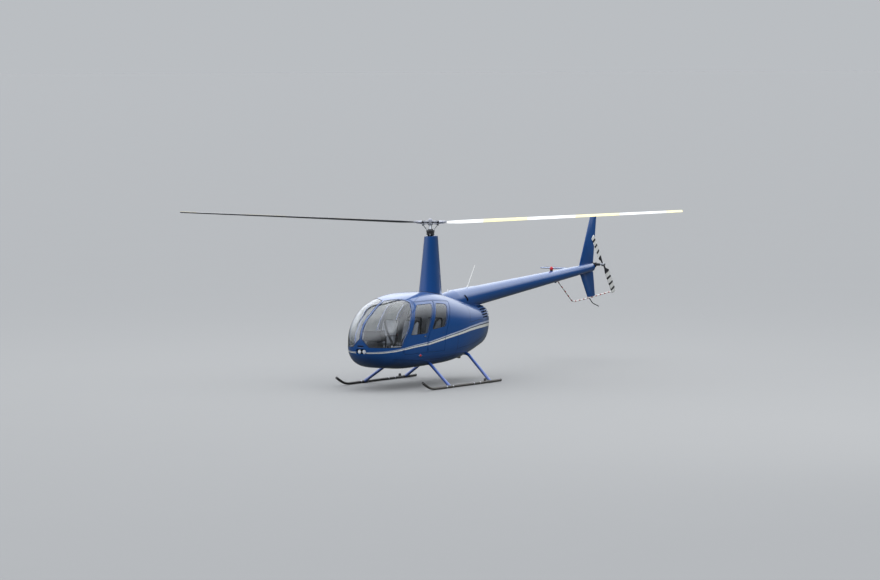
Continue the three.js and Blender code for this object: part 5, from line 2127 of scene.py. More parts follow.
@dataclass
class Cabin:
    """What shows through the glass: four seats with belts, the instruments, the controls and the floor."""

    floor: float = 0.5243
    seat_y: float = 0.255
    cushion: tuple = (0.372, 0.400, 0.058)
    cushion_rise: float = 0.766
    cushion_tilt: float = 3.6
    back: tuple = (0.545, 0.396, 0.056)
    seats: tuple = (("front", 1.306, 1.118, 14.6), ("rear", 0.518, 0.305, 8.0))
    piping: float = 0.0034
    piped_row: int = 15
    webbing: float = 0.023
    panel_face: tuple = ((1.775, 0.950), (1.835, 1.150))
    pedestal_face: tuple = ((1.640, 0.5243), (1.780, 0.960))
    panel_half: float = 0.215
    pedestal_half: float = 0.120
    dials: tuple = ((-0.155, 0.150, 0.034), (-0.052, 0.150, 0.040), (0.052, 0.150, 0.040), (0.155, 0.150, 0.034),
                    (-0.155, 0.060, 0.034), (-0.052, 0.056, 0.040), (0.052, 0.056, 0.040), (0.155, 0.060, 0.028))
    stick: tuple = ((1.560, 0.5243), (1.500, 1.040))
    grip_y: float = 0.265
    pedals: tuple = (1.905, 0.650)
    levers: tuple = (-0.002, 0.500)

    def build(self, machine: Machine) -> None:
        """Adds the seats, the panel and the controls, and finishes what stays plain inside.

        Args:
            machine: The machine.
        """
        pads = (puffed(pillow(*self.cushion)), puffed(pillow(*self.back)))
        for place, x, hinge_x, tilt in self.seats:
            for name, side in SIDES:
                self.seat(machine, f"{place}_{name}", pads, (x, hinge_x, tilt), side)
        self.panel(machine)
        self.controls(machine)
        for node, coat in (("cabin_floor", Coat.CARPET), ("firewall", Coat.LINING), ("engine_block", Coat.ENGINE),
                           ("cooling_fan", Coat.DARK), ("exhaust_pipe", Coat.HOT)):
            machine.refinish(node, coat)

    def seat(self, machine: Machine, name: str, pads: tuple, place: tuple, side: int) -> None:
        """Adds one seat: a box with a lid, a back shell, two crowned pads with piping, and a belt.

        Args:
            machine: The machine.
            name: Which seat it is.
            pads: The cushion's and the back pad's forms.
            place: The cushion's middle, where the back starts, and how far it leans.
            side: 1 for port, -1 for starboard.
        """
        x, hinge_x, tilt = place
        y, lean = side * self.seat_y, math.radians(tilt)
        up, ahead = np.array([-math.sin(lean), 0, math.cos(lean)]), np.array([math.cos(lean), 0, math.sin(lean)])
        lie = turned("Y", -self.cushion_tilt)
        lie[:3, 3] = (x, y, self.cushion_rise)
        foot = np.array([hinge_x, y, 0.775])
        stand = frame_matrix(foot + 0.285 * up + 0.016 * ahead, up, (0, -1, 0), ahead)
        rear, front = x - 0.262, x + 0.176
        base = slab(View.SIDE, [(rear, self.floor), (front - 0.012, self.floor), (front, 0.742), (rear, 0.716)],
                    y - 0.204, y + 0.204, 0.006, corner=0.012)
        lid = slab(View.SIDE, [(front - 0.012, 0.570), (front - 0.002, 0.570), (front + 0.006, 0.700),
                               (front - 0.004, 0.700)], y - 0.165, y + 0.165, 0.002)
        latch = slab(View.SIDE, [(front, 0.672), (front + 0.010, 0.672), (front + 0.012, 0.688), (front, 0.688)],
                     y - 0.022, y + 0.022, 0.002, finish=1)
        shell = slab(View.FRONT, [(-0.198, -0.045), (0.198, -0.045), (0.178, 0.560), (-0.178, 0.560)], -0.030,
                     -0.010, 0.006, corner=0.045).moved(frame_matrix(foot, ahead, PORT, up))
        machine.add(f"seat_{name}_base", join(base, lid, latch, shell), (Coat.PANEL, Coat.METAL),
                    replaces=(f"seat_{name}",), slot="seat_leather")
        trim, forms = [], []
        for part, form, matrix, sizes in (("cushion", pads[0], lie, self.cushion), ("back", pads[1], stand, self.back)):
            form = form.moved(matrix)
            pad = machine.add(f"seat_{name}_{part}", form, Coat.LEATHER, slot="seat_leather", crease=180)
            smooth = pad.modifiers.new("smooth", "SUBSURF")
            smooth.levels = smooth.render_levels = 1
            forms.append(form)
            tree = form.tree()
            ring = pillow(*sizes).points.reshape(PILLOW_ROWS, PILLOW_COLUMNS, 3)[self.piped_row]
            lines = [np.concatenate([ring, ring[:1]])]
            reach = np.linspace(-0.40, 0.40, 30) * sizes[0]
            lines += [np.column_stack(np.broadcast_arrays(reach, width, sizes[2])) for width in (-0.105, 0.105)]
            for line in lines:
                path, out = laid(tree, line @ matrix[:3, :3].T + matrix[:3, 3], 0.0006)
                trim.append(tube(path, self.piping, 8, side=out))
        machine.add(f"seat_{name}_piping", join(trim), Coat.LEATHER, slot="seat_leather")
        self.belt(machine, name, forms, (foot, up, ahead), side)

    def belt(self, machine: Machine, name: str, forms: list, lean: tuple, side: int) -> None:
        """Adds a shoulder strap over the back's outboard corner, a lap strap and their buckle.

        Args:
            machine: The machine.
            name: Which seat it is.
            forms: The cushion and the back pad, in place.
            lean: The foot of the back, and its directions up and forwards.
            side: 1 for port, -1 for starboard.
        """
        foot, up, ahead = lean
        tree = join(forms).tree()
        flat = rectangle(-1, -0.04, 1, 0.04) * self.webbing
        corners = [(-0.022, 0.135, 0.50), (-0.010, 0.135, 0.60), (0.060, 0.120, 0.53), (0.075, 0.020, 0.32),
                   (0.080, -0.150, 0.08), (0.105, -0.195, 0.020)]
        path = np.array([foot + a * ahead + (0, side * b, 0) + c * up for a, b, c in corners])
        shoulder, out = laid(tree, spaced(bent_path(path, 0.03), 0.014), 0.0025)
        lap_corners = [(0.060, 0.196, 0.0), (0.130, 0.120, 0.04), (0.190, 0.0, 0.04), (0.150, -0.130, 0.04),
                       (0.105, -0.195, 0.010)]
        path = np.array([foot + (a, side * b, c) for a, b, c in lap_corners])
        lap, lap_out = laid(tree, spaced(bent_path(path, 0.04), 0.014), 0.0030)
        anchor = foot + (0.105, -side * 0.200, 0.005)
        buckle = block((-0.030, -0.012, -0.022), (0.030, 0.012, 0.022), 0.003, 0.006, 1).moved(turned("Y", 55))
        straps = join(sweep(shoulder, flat, side=out), sweep(lap, flat, side=lap_out), buckle.shifted(*anchor))
        machine.add(f"belt_{name}", straps, (Coat.BELT, Coat.METAL))

    @staticmethod
    def facing(low: tuple, high: tuple, y: float, rise: float) -> np.ndarray:
        """Returns the matrix for a piece on a face that looks aft: its x to starboard, its y up the face.

        Args:
            low: The face's lower edge (x, z).
            high: Its upper edge.
            y: How far to port.
            rise: How far up the face.

        Returns:
            The matrix.
        """
        (x0, z0), (x1, z1) = low, high
        along = unit(np.array([x1 - x0, 0, z1 - z0]))
        out = np.array([-along[2], 0, along[0]])
        return frame_matrix(np.array([x0, y, z0]) + rise * along, (0, -1, 0), along, out)

    @staticmethod
    def dial(radius: float, needle: float) -> Form:
        """A round instrument that looks along z: bezel, face, twelve marks and a needle at some degrees.

        Args:
            radius: The face's radius.
            needle: The needle's turn.

        Returns:
            The instrument.
        """
        bezel = lathe([(-0.004, radius + 0.006), (0.004, radius + 0.006), (0.007, radius + 0.003), (0.006, radius),
                       (0.002, radius - 0.001), (0.002, 0)], sides=40, finish=[0, 0, 0, 0, 1])
        ring = circle(12)
        marks = [rod((*(0.78 * radius * p), 0.0024), (*(0.93 * radius * p), 0.0024), 0.0008, 4, 2) for p in ring]
        turn = math.radians(needle)
        tip = 0.72 * radius * np.array([math.sin(turn), math.cos(turn)])
        hand = rod((*(-0.2 * tip), 0.0032), (*tip, 0.0032), (0.0014, 0.0006), 6, 2)
        return join(bezel, marks, hand, rod((0, 0, 0.002), (0, 0, 0.0045), 0.003, 12, 0))

    def panel(self, machine: Machine) -> None:
        """Adds the pedestal and the panel: hood, dials, two radios with knobs, and rows of switches.

        Args:
            machine: The machine.
        """
        boxes = (([(1.640, self.floor), (1.940, self.floor), (1.960, 0.962), (1.780, 0.962)], self.pedestal_half,
                  0.006, 0, 0.024),
                 ([(1.775, 0.950), (1.965, 0.950), (1.935, 1.150), (1.835, 1.150)], self.panel_half, 0.006, 0, 0.024),
                 ([(1.800, 1.147), (1.956, 1.147), (1.954, 1.161), (1.795, 1.165)], self.panel_half + 0.010, 0.0015,
                  3, 0.005))
        pieces = [slab(View.SIDE, outline, -half, half, bevel, finish, corner)
                  for outline, half, bevel, finish, corner in boxes]
        for number, (y, rise, radius) in enumerate(self.dials):
            pieces.append(self.dial(radius, 40 + 67 * number).moved(self.facing(*self.panel_face, y, rise)))
        for rise in (0.300, 0.358):
            radio = [block((-0.085, -0.024, -0.002), (0.085, 0.024, 0.007), 0.002, 0.003),
                     block((-0.050, -0.012, 0.005), (0.050, 0.013, 0.0085), 0.0005, 0.002, 1)]
            for x in (-0.068, 0.068):
                radio.append(lathe([(0.005, 0.010), (0.015, 0.009), (0.015, 0.006), (0.023, 0.0055), (0.024, 0.003)],
                                   (x, 0, 0), sides=20, finish=3))
            pieces.append(join(radio).moved(self.facing(*self.pedestal_face, 0.0, rise)))
        for rise in (0.215, 0.255, 0.405):
            matrix = self.facing(*self.pedestal_face, 0.0, rise)
            row = [rod((x, 0, -0.001), (x, 0.004, 0.014), (0.0045, 0.0025), 10, 4) for x in np.linspace(-0.09, 0.09, 7)]
            pieces.append(join(row).moved(matrix))
        machine.add("instrument_panel", join(pieces), (Coat.PANEL, Coat.DIAL, Coat.MARK, Coat.RUBBER, Coat.METAL),
                    replaces=("instrument_pedestal",), slot="black_plastic")

    def controls(self, machine: Machine) -> None:
        """Adds the T-shaped cyclic stick, the four pedals and both collective levers.

        Args:
            machine: The machine.
        """
        (x0, z0), (x1, z1) = self.stick
        z = np.linspace(z0, z0 + 0.062, 19)
        boot = lathe(np.stack([z - z0, np.linspace(0.052, 0.022, 19) + 0.004 * np.cos(2 * np.pi * (z - z0) / 0.0125)],
                              1), (x0, 0, z0), (x1 - x0, 0, z1 - z0), 32, finish=2)
        column = rod((x0, 0, z0), (x1, 0, z1 - 0.02), (0.016, 0.014), 24)
        pivot = block((-0.026, -0.022, -0.026), (0.026, 0.022, 0.016), 0.004, 0.008, 1).shifted(x1, 0, z1)
        half_bar = rod((x1, 0.0, z1), (x1, self.grip_y, z1), 0.011, 20)
        grip = lathe([(0.0, 0.014), (0.006, 0.0165), (0.035, 0.0150), (0.075, 0.0172), (0.105, 0.0165), (0.125, 0.0185),
                      (0.135, 0.014)], (x1, self.grip_y, z1 - 0.115), sides=24, finish=2)
        knob = lathe([(0, 0.006), (0.005, 0.006), (0.007, 0.004)], (x1, self.grip_y, z1 + 0.019), UP, 12, 3)
        arms = mirror_pair(join(half_bar, grip, knob))
        machine.add("cyclic_controls", join(boot, column, pivot, arms), (Coat.DARK, Coat.METAL, Coat.RUBBER, Coat.RED),
                    replaces=("cyclic_stick",), slot="black_plastic")
        x, z = self.pedals
        pad = slab(View.FRONT, rectangle(-0.036, -0.050, 0.036, 0.050), 0.0, 0.008, 0.003, 2, corner=0.012)
        ribs = [rod((-0.001, -0.030, rise), (-0.001, 0.030, rise), 0.002, 8, 2) for rise in (-0.03, -0.01, 0.01, 0.03)]
        pad = join(pad, ribs).moved(turned("Y", 20))
        pieces = []
        for y in (0.175, 0.295):
            arm = tube(bent_path([(x + 0.060, y, self.floor - 0.002), (x + 0.045, y, z - 0.030), (x + 0.006, y, z)],
                                 0.02), 0.008, 12, side=PORT)
            pieces += [arm, pad.shifted(x, y, z)]
        machine.add("pedals", mirror_pair(join(pieces)), (Coat.DARK, Coat.METAL, Coat.RUBBER))
        levers = []
        for y in self.levers:
            low, high = np.array([1.080, y, 0.560]), np.array([1.420, y, 0.790])
            along = unit(high - low)
            grip = lathe([(0, 0.014), (0.004, 0.017), (0.110, 0.017), (0.118, 0.021), (0.140, 0.021), (0.146, 0.014)],
                         high - 0.09 * along, along, 24, finish=2)
            foot = block((1.050, y - 0.016, self.floor - 0.002), (1.110, y + 0.016, 0.585), 0.004, 0.008)
            levers += [rod(low, high, 0.0095, 16), grip, foot]
        machine.add("collective_levers", join(levers), (Coat.DARK, Coat.METAL, Coat.RUBBER))


# Boom, fins and tail rotor


def thickness(u: np.ndarray) -> np.ndarray:
    """The half thickness of a symmetric aerofoil at shares u of its chord, 1 at its thickest."""
    return 2.969 * np.sqrt(u) - 1.26 * u - 3.516 * u**2 + 2.843 * u**3 - 1.036 * u**4


def wing(lead: np.ndarray, trail: np.ndarray, half: np.ndarray, up: np.ndarray, low_share: float = 1.0,
         columns: int = BLADE_COLUMNS, finish: Marks = 0) -> Form:
    """A closed aerofoil body: point = lead + u (trail - lead) +- half thickness(u) up, with u = (1 + cos t) / 2.

    Args:
        lead: The leading edge's points, row by row.
        trail: The trailing edge's points.
        half: Half the thickness, one number for each row.
        up: The direction of the thickness.
        low_share: The lower side's thickness as a share of the upper side's.
        columns: Points round the section.
        finish: One number, or an array of rows less one by columns.

    Returns:
        The body with both ends capped.
    """
    lead, trail = np.asarray(lead, float)[:, None], np.asarray(trail, float)[:, None]
    c, s = circle(columns).T[:, None, :, None]
    u, side = (1 + c) / 2, np.where(s >= 0, 1.0, -low_share)
    depth = np.asarray(half, float)[:, None, None] * side * thickness(u)
    rings = lead + u * (trail - lead) + depth * np.asarray(up, float)
    ends = np.asarray(finish).flat
    return join(grid(rings, around=True, finish=finish), disc(rings[0], int(ends[0]), turned=True),
                disc(rings[-1], int(ends[-1])))


def rounded_rows(rows: np.ndarray, reach: float) -> tuple[np.ndarray, np.ndarray]:
    """Adds rows near a body's last end so that its thickness falls away in a quarter circle.

    Args:
        rows: The rows, whose columns run evenly from end to end.
        reach: How far from the end the thickness starts to fall, as a share of the end's run.

    Returns:
        The rows, and each row's share of the full thickness.
    """
    turn = np.linspace(0, np.pi / 2, 5)[1:]
    last = rows[-1] + (rows[-2] - rows[-1]) * reach * (1 - np.sin(turn))[:, None]
    share = np.concatenate([np.ones(len(rows) - 1), np.cos(turn)])
    share[-1] = 0.12
    return np.concatenate([rows[:-1], last]), share


@dataclass
class Tail:
    """The boom with its fins, stabiliser, beacon, aerial, gearbox, tail rotor, guard and skid."""

    front: float = -1.0
    end: float = -5.85
    ref_x: float = -1.6
    ref_z: float = 1.655
    ref_radius: float = 0.1985
    rise: float = 0.0845
    taper: float = 0.0267
    rivets_round: int = 44
    lap_rivet: tuple = (0.0036, 0.0014)
    laps: tuple = (-1.56, -2.30, -3.05, -3.80, -4.55, -5.20, -5.62)
    fairing: tuple = ((-0.330, 1.590, 0.140), (-0.334, 1.590, 0.146), (-0.342, 1.590, 0.151), (-0.700, 1.579, 0.2315))
    fairing_end: float = -1.480
    fairing_lift: float = 0.009
    vent: tuple = ((-0.890, 62.0), (-0.965, 92.0))
    stub: tuple = (-0.607, -0.020, 1.785)
    fin_y: float = -0.058
    fin_half: float = 0.017
    rivet_rows: tuple = (0.30, 0.86)
    rivet: tuple = (0.0034, 0.0014)
    upper_fin: tuple = ((-5.440, -5.980, 2.035), (-5.460, -5.985, 2.110), (-5.880, -6.120, 3.105))
    lower_fin: tuple = ((-5.455, -5.900, 1.980), (-5.470, -5.990, 1.900), (-5.765, -6.060, 1.377))
    stabiliser: tuple = (-0.070, -1.070, 1.990, -5.450, -5.850, 0.019)
    beacon_x: float = -4.310
    beacon_top: float = 2.105
    beacon_radius: float = 0.036
    aerial: tuple = ((-1.227, 0, 1.790), (-1.528, 0, 2.269))
    gearbox: tuple = (-5.8503, -5.965, 2.046, 0.062)
    hub: tuple = (-5.893, 0.260, 2.080)
    blade_angle: float = 58.8
    blade_rows: tuple = ((0.030, 0.046, 0), (0.120, 0.060, 4), (0.190, 0.140, 10), (0.7366, 0.140, 6))
    blade_black: float = 0.225
    blade_bands: tuple = (0.325, 0.375, 0.473, 0.520, 0.612, 0.660)
    guard_radius: float = 0.012
    guard: tuple = ((-4.480, 0, 1.838), (-5.160, -0.036, 1.312), (-5.860, -0.058, 1.3605), (-6.690, -0.058, 1.449))
    guard_white: float = 0.105
    guard_red: float = 0.060
    skid: tuple = ((-5.840, -0.058, 1.352), (-5.960, -0.058, 1.240), (-6.200, -0.058, 1.158))

    def radius(self, x: float) -> float:
        """The boom's radius where its axis is at x."""
        return self.ref_radius - self.taper * (self.ref_x - x)

    def height(self, x: float) -> float:
        """The height of the boom's axis at x."""
        return self.ref_z + self.rise * (self.ref_x - x)

    def axis(self) -> np.ndarray:
        """The boom's direction, aft and up."""
        return unit(np.array([-1.0, 0.0, self.rise]))

    def cone(self, profile: Points, finish: Marks = 0, sides: int = 56) -> Form:
        """A body turned round the boom's axis: each point (x, lift) lies that far above the boom's skin.

        Args:
            profile: The points (x, lift).
            finish: One number, or one for each run.
            sides: Faces round the body.

        Returns:
            The body.
        """
        profile = np.asarray(profile, float)
        along = (self.front - profile[:, 0]) * math.hypot(1, self.rise)
        radii = self.radius(profile[:, 0]) + profile[:, 1]
        start = (self.front, 0, self.height(self.front))
        return lathe(np.stack([along, radii], 1), start, self.axis(), sides, finish)

    def on_boom(self, x: Amount, turn: Amount, lift: float = 0.0) -> tuple[np.ndarray, np.ndarray]:
        """Returns points on the boom's skin at x and a turn from the top, and their outward directions.

        Args:
            x: How far along.
            turn: The turn in radians.
            lift: How far above the skin.

        Returns:
            The points and the directions.
        """
        x, turn = np.broadcast_arrays(np.asarray(x, float), np.asarray(turn, float))
        up = np.cross(self.axis(), PORT)
        up = up * np.sign(up[2])
        out = np.cos(turn)[..., None] * up + np.sin(turn)[..., None] * np.array([0, 1.0, 0])
        centre = np.stack([x, np.zeros_like(x), self.height(x)], -1)
        return centre + (self.radius(x) + lift)[..., None] * out, out

    def build(self, machine: Machine) -> None:
        """Adds everything behind the cowl.

        Args:
            machine: The machine.
        """
        self.boom(machine)
        self.tunnel(machine)
        self.fins(machine)
        self.fittings(machine)
        self.gear(machine)
        self.rotor(machine)
        self.guards(machine)

    def boom(self, machine: Machine) -> None:
        """Adds the boom, with lapped skins and two rows of rivets at each lap, and a cap at its end.

        Args:
            machine: The machine.
        """
        profile = [(self.front, 0.0)]
        for x in self.laps:
            profile += [(x, 0.0012), (x - 0.001, 0.0)]
        profile += [(self.end + 0.004, 0.0), (self.end, -0.004)]
        body = self.cone(profile)
        rows = [x + side for x in self.laps for side in (0.012, -0.014)]
        turns = 2 * np.pi * np.arange(self.rivets_round) / self.rivets_round
        heads = [studs(*self.on_boom(x, turns, 0.0008), *self.lap_rivet) for x in rows]
        seam_x = np.arange(self.laps[0] - 0.05, self.end + 0.05, -0.045)
        seams = [studs(*self.on_boom(seam_x, turn), *self.lap_rivet) for turn in (2.6, 2.7)]
        machine.add("boom_skin", join(body, heads, seams), Coat.BLUE, replaces=("tail_boom",), slot="body_paint")

    def tunnel(self, machine: Machine) -> None:
        """Adds the fairing over the boom's root: a cone that widens from the mast fairing, then follows the boom.

        Args:
            machine: The machine.
        """
        x = np.linspace(self.fairing[-1][0], self.fairing_end, 24)[1:]
        x = np.concatenate([x, [self.fairing_end - 0.001, self.fairing_end - 0.002]])
        radius = self.radius(x) + self.fairing_lift
        radius[-2:] -= (0.0025, 0.0085)
        stops = np.concatenate([np.array(self.fairing), np.stack([x, self.height(x), radius], 1)])
        path = np.stack([stops[:, 0], np.zeros(len(stops)), stops[:, 1]], 1)
        shell = tube(path, stops[:, 2], 72, side=PORT)
        turns = np.radians(np.linspace(-110, 110, 27))
        heads = studs(*self.on_boom(self.fairing_end + 0.016, turns, self.fairing_lift), 0.0038, 0.0016)
        share = np.linspace(0, 1, 12)
        (x0, turn0), (x1, turn1) = self.vent
        mouth, out = self.on_boom(x0 + share * (x1 - x0), np.radians(turn0 + share * (turn1 - turn0)),
                                  self.fairing_lift)
        # The vent's opening is a flat near-black strip on the skin: painted shade, between two blue lips
        slot = sweep(mouth, circle(10, 0.0300, 0.10), side=out, finish=1)
        lip = join(sweep(mouth + [dx, 0, 0.001], circle(8, 0.0055, 0.8), side=out) for dx in (0.033, -0.033))
        stub = lathe([(-0.02, 0.017), (0.004, 0.016), (0.030, 0.010), (0.042, 0.006), (0.044, 0)], self.stub,
                     (-0.15, 0, 1), 20, finish=2)
        machine.add("boom_fairing", join(shell, heads, slot, lip, stub), (Coat.BLUE, Coat.SHADE_BLACK, Coat.WHITE),
                    slot="body_paint")

    def fins(self, machine: Machine) -> None:
        """Adds both fins and the stabiliser.

        Args:
            machine: The machine.
        """
        for name, table in (("fin_upper", self.upper_fin), ("fin_lower", self.lower_fin)):
            rows, share = rounded_rows(np.array(table), 0.02)
            spar = np.array(table[1]) + np.linspace(0.05, 0.95, 22)[:, None] * np.subtract(table[2], table[1])
            edges = [np.column_stack(np.broadcast_arrays(row[:, k], self.fin_y, row[:, 2]))
                     for row in (rows, spar) for k in (0, 1)]
            body = self.fin(*edges, share, self.fin_half, np.array(PORT))
            machine.add(f"{name}_skin", body, Coat.BLUE, replaces=(name,), slot="body_paint")
        root, tip, z, front, rear, half = self.stabiliser
        rows, share = rounded_rows(np.array([[root], [tip]]), 0.02)
        edges = [np.column_stack(np.broadcast_arrays(x, y, z))
                 for y in (rows[:, 0], np.linspace(root - 0.05, tip + 0.04, 22)) for x in (front, rear)]
        machine.add("stabiliser_skin", self.fin(*edges, share, half, np.array(UP)), Coat.BLUE,
                    replaces=("horizontal_stabiliser",), slot="body_paint")

    def fin(self, lead: np.ndarray, trail: np.ndarray, spar_lead: np.ndarray, spar_trail: np.ndarray,
            share: np.ndarray, half: float, up: np.ndarray) -> Form:
        """A rounded aerofoil with two rows of rivets on each side.

        Args:
            lead: The leading edge's points.
            trail: The trailing edge's points.
            spar_lead: The leading edge at each rivet of a row.
            spar_trail: The trailing edge there.
            share: Each row's share of the full thickness.
            half: Half the full thickness.
            up: The direction of the thickness.

        Returns:
            The body with its rivets.
        """
        heads = []
        for place in self.rivet_rows:
            middle = spar_lead + place * (spar_trail - spar_lead)
            for side in (1, -1):
                heads.append(studs(middle + side * half * thickness(np.float64(place)) * up, side * up, *self.rivet))
        return join(wing(lead, trail, share * half, up, columns=40), heads)

    def fittings(self, machine: Machine) -> None:
        """Adds the beacon with its red lens over a lamp, and the white whip aerial on its cone.

        Args:
            machine: The machine.
        """
        x, top, r = self.beacon_x, self.beacon_top, self.beacon_radius
        skin_top = self.height(x) + self.radius(x)
        foot = lathe([(-0.02, 0.033), (0.004, 0.033), (0.008, 0.031), (0.008, 0.028), (0.02, 0.028), (0.022, 0.026)],
                     (x, 0, skin_top))
        bolts = studs(ring_of(View.TOP, (x, 0, skin_top + 0.005), 4, 0.0305), UP, 0.0022, 0.002)
        turn = np.linspace(-0.9, np.pi / 2, 14)
        dome = np.stack([(top - r * 1.25) + 1.25 * r * np.sin(turn), r * np.cos(turn)], 1)
        dome[-1, 1] = 0.0
        lens = lathe(dome, (x, 0, 0))
        lamp = lathe([(skin_top, 0.010), (skin_top + 0.045, 0.010), (skin_top + 0.060, 0.006)], (x, 0, 0))
        machine.add("beacon_foot", join(foot, bolts, lamp.painted(1)), (Coat.RUBBER, Coat.BRIGHT))
        machine.add("beacon_lens", lens, Coat.RED_LENS, replaces=("beacon",), slot="red_lens")
        low, high = (np.array(point) for point in self.aerial)
        reach = np.linalg.norm(high - low)
        whip = lathe([(0, 0.020), (0.03, 0.0185), (0.085, 0.0125), (0.09, 0.010), (0.10, 0.0092),
                      (reach - 0.006, 0.0062), (reach - 0.001, 0.004), (reach, 0.0)], low, high - low, 24)
        machine.add("aerial_whip", whip, Coat.WHITE, replaces=("whip_aerial",))

    def gear(self, machine: Machine) -> None:
        """Adds the tail gearbox: ribbed case, flange bolts, output housing and filler plug.

        Args:
            machine: The machine.
        """
        x0, x1, z, r = self.gearbox
        run = x0 - x1
        case = lathe([(-0.004, r - 0.006), (0, r), (0.012, r), (0.013, r - 0.006), (0.45 * run, r - 0.008),
                      (0.46 * run, r - 0.004), (0.55 * run, r - 0.004), (0.56 * run, r - 0.009),
                      (run - 0.012, r - 0.012), (run - 0.003, r - 0.020), (run, r - 0.030)], (x0, 0, z), (-1, 0, 0), 40)
        bolts = studs(ring_of(View.FRONT, (x0 - 0.012, 0, z), 8, r - 0.006), (-1, 0, 0), 0.005, 0.005)
        hx, _, hz = self.hub
        output = lathe([(0.0, 0.034), (0.070, 0.0335), (0.072, 0.042), (0.082, 0.042), (0.084, 0.031), (0.150, 0.029),
                        (0.174, 0.028), (0.182, 0.024)], (hx, 0, hz - 0.004), PORT, 32)
        output_bolts = studs(ring_of(View.SIDE, (hx, 0.083, hz - 0.004), 6, 0.038), PORT, 0.003, 0.004)
        plug = lathe([(0, 0.010), (0.016, 0.010), (0.017, 0.013), (0.024, 0.013), (0.026, 0.010)],
                     (x0 - 0.04, 0, z + r - 0.014), sides=6)
        machine.add("gearbox_case", join(case, output, join(bolts, output_bolts, plug).painted(1)),
                    (Coat.BLACK, Coat.METAL), replaces=("tail_gearbox",))

    def rotor(self, machine: Machine) -> None:
        """Adds the tail rotor: its shaft, the hub with bolts, and two banded blades.

        Args:
            machine: The machine.
        """
        hx, hy, hz = self.hub
        hub = lathe([(-0.032, 0.030), (-0.028, 0.038), (-0.006, 0.038), (0.0, 0.034), (0.020, 0.033), (0.036, 0.031),
                     (0.040, 0.026)], (hx, hy, hz), PORT, 32)
        shaft = lathe([(0.116, 0.015), (hy - 0.03, 0.015)], (hx, 0, hz), PORT, 24)
        bolts = studs(ring_of(View.SIDE, (hx, hy + 0.039, hz), 6, 0.022), PORT, 0.004, 0.004)
        stops = np.array([0.030, 0.060, 0.120, 0.155, 0.190, self.blade_black, *self.blade_bands, 0.6900, 0.7200,
                          0.7320, 0.7366])
        table = np.array(self.blade_rows)
        chord, pitch = (np.interp(stops, table[:, 0], table[:, k]) for k in (1, 2))
        chord[-2:] *= (0.97, 0.86)
        middle = (stops[1:] + stops[:-1]) / 2
        finish = np.searchsorted((self.blade_black, *self.blade_bands), middle) % 2
        blade = blade_form(stops, chord, pitch, 0.07, 0.045, finish[:, None], tip_share=(0.7, 0.25))
        blades = []
        for half_turn in (0, 180):
            place = turned("Y", -(self.blade_angle + half_turn)) @ turned("X", 90)
            blades.append(blade.moved(place).shifted(hx, hy, hz))
        machine.add("tail_rotor_looks", join(join(hub, shaft, bolts).painted(2), blades),
                    (Coat.DARK, Coat.WHITE, Coat.METAL), body="tail_rotor", replaces=("tail_rotor",),
                    slot="tail_blade_paint")

    def guards(self, machine: Machine) -> None:
        """Adds the rotor guard in white and red bands, its clamp on the boom, and the bent tail skid.

        Args:
            machine: The machine.
        """
        step = 0.015
        path = spaced(bent_path(self.guard, 0.07), step)
        red = (step * np.arange(len(path) - 1)) % (self.guard_white + self.guard_red) > self.guard_white
        bar = tube(path, self.guard_radius, 14, side=PORT, finish=red.astype(int))
        end = lathe([(0, 0.012), (0.006, 0.010), (0.010, 0.005), (0.011, 0.0)], self.guard[-1],
                    np.array(self.guard[-1]) - self.guard[-2], 14)
        point, out = self.on_boom(self.guard[0][0] + 0.03, math.pi)
        clamp = lathe([(-0.01, 0.030), (0.006, 0.030), (0.014, 0.018), (0.022, 0.016)], point, out, 20, finish=2)
        machine.add("guard_bar", join(bar, end, clamp), (Coat.WHITE, Coat.RED, Coat.BLUE),
                    replaces=("tail_rotor_guard",), slot="guard_paint")
        bent = tube(spaced(bent_path(self.skid, 0.05), 0.01), 0.010, 12, side=PORT)
        machine.add("tail_skid_bar", bent, Coat.BLACK, replaces=("tail_skid",))


def blade_form(stops: np.ndarray, chord: np.ndarray, pitch: np.ndarray, high: float, low: float, finish: Marks,
               tip_share: Place = (0.8, 0.3)) -> Form:
    """A rotor blade along x with its leading edge towards y: sections of an aerofoil pitched nose up.

    Args:
        stops: The radius of each section.
        chord: Each section's chord; a quarter of it lies ahead of the blade's line.
        pitch: Each section's pitch in degrees.
        high: The upper side's thickness as a share of the chord.
        low: The lower side's.
        finish: Finish numbers that broadcast to sections less one by BLADE_COLUMNS.
        tip_share: The last two sections' share of the full thickness.

    Returns:
        The blade.
    """
    turn, zero = np.radians(pitch), np.zeros_like(pitch)
    ahead = np.stack([zero, np.cos(turn), np.sin(turn)], 1)
    line = np.stack([stops, zero, zero], 1)
    half = high * chord
    half[-2:] *= tip_share
    lead, trail = line + 0.25 * chord[:, None] * ahead, line - 0.75 * chord[:, None] * ahead
    up = np.stack([zero, -np.sin(turn), np.cos(turn)], 1)[:, None]
    return wing(lead, trail, half, up, low / high, finish=np.broadcast_to(finish, (len(stops) - 1, BLADE_COLUMNS)))


# Mast and main rotor


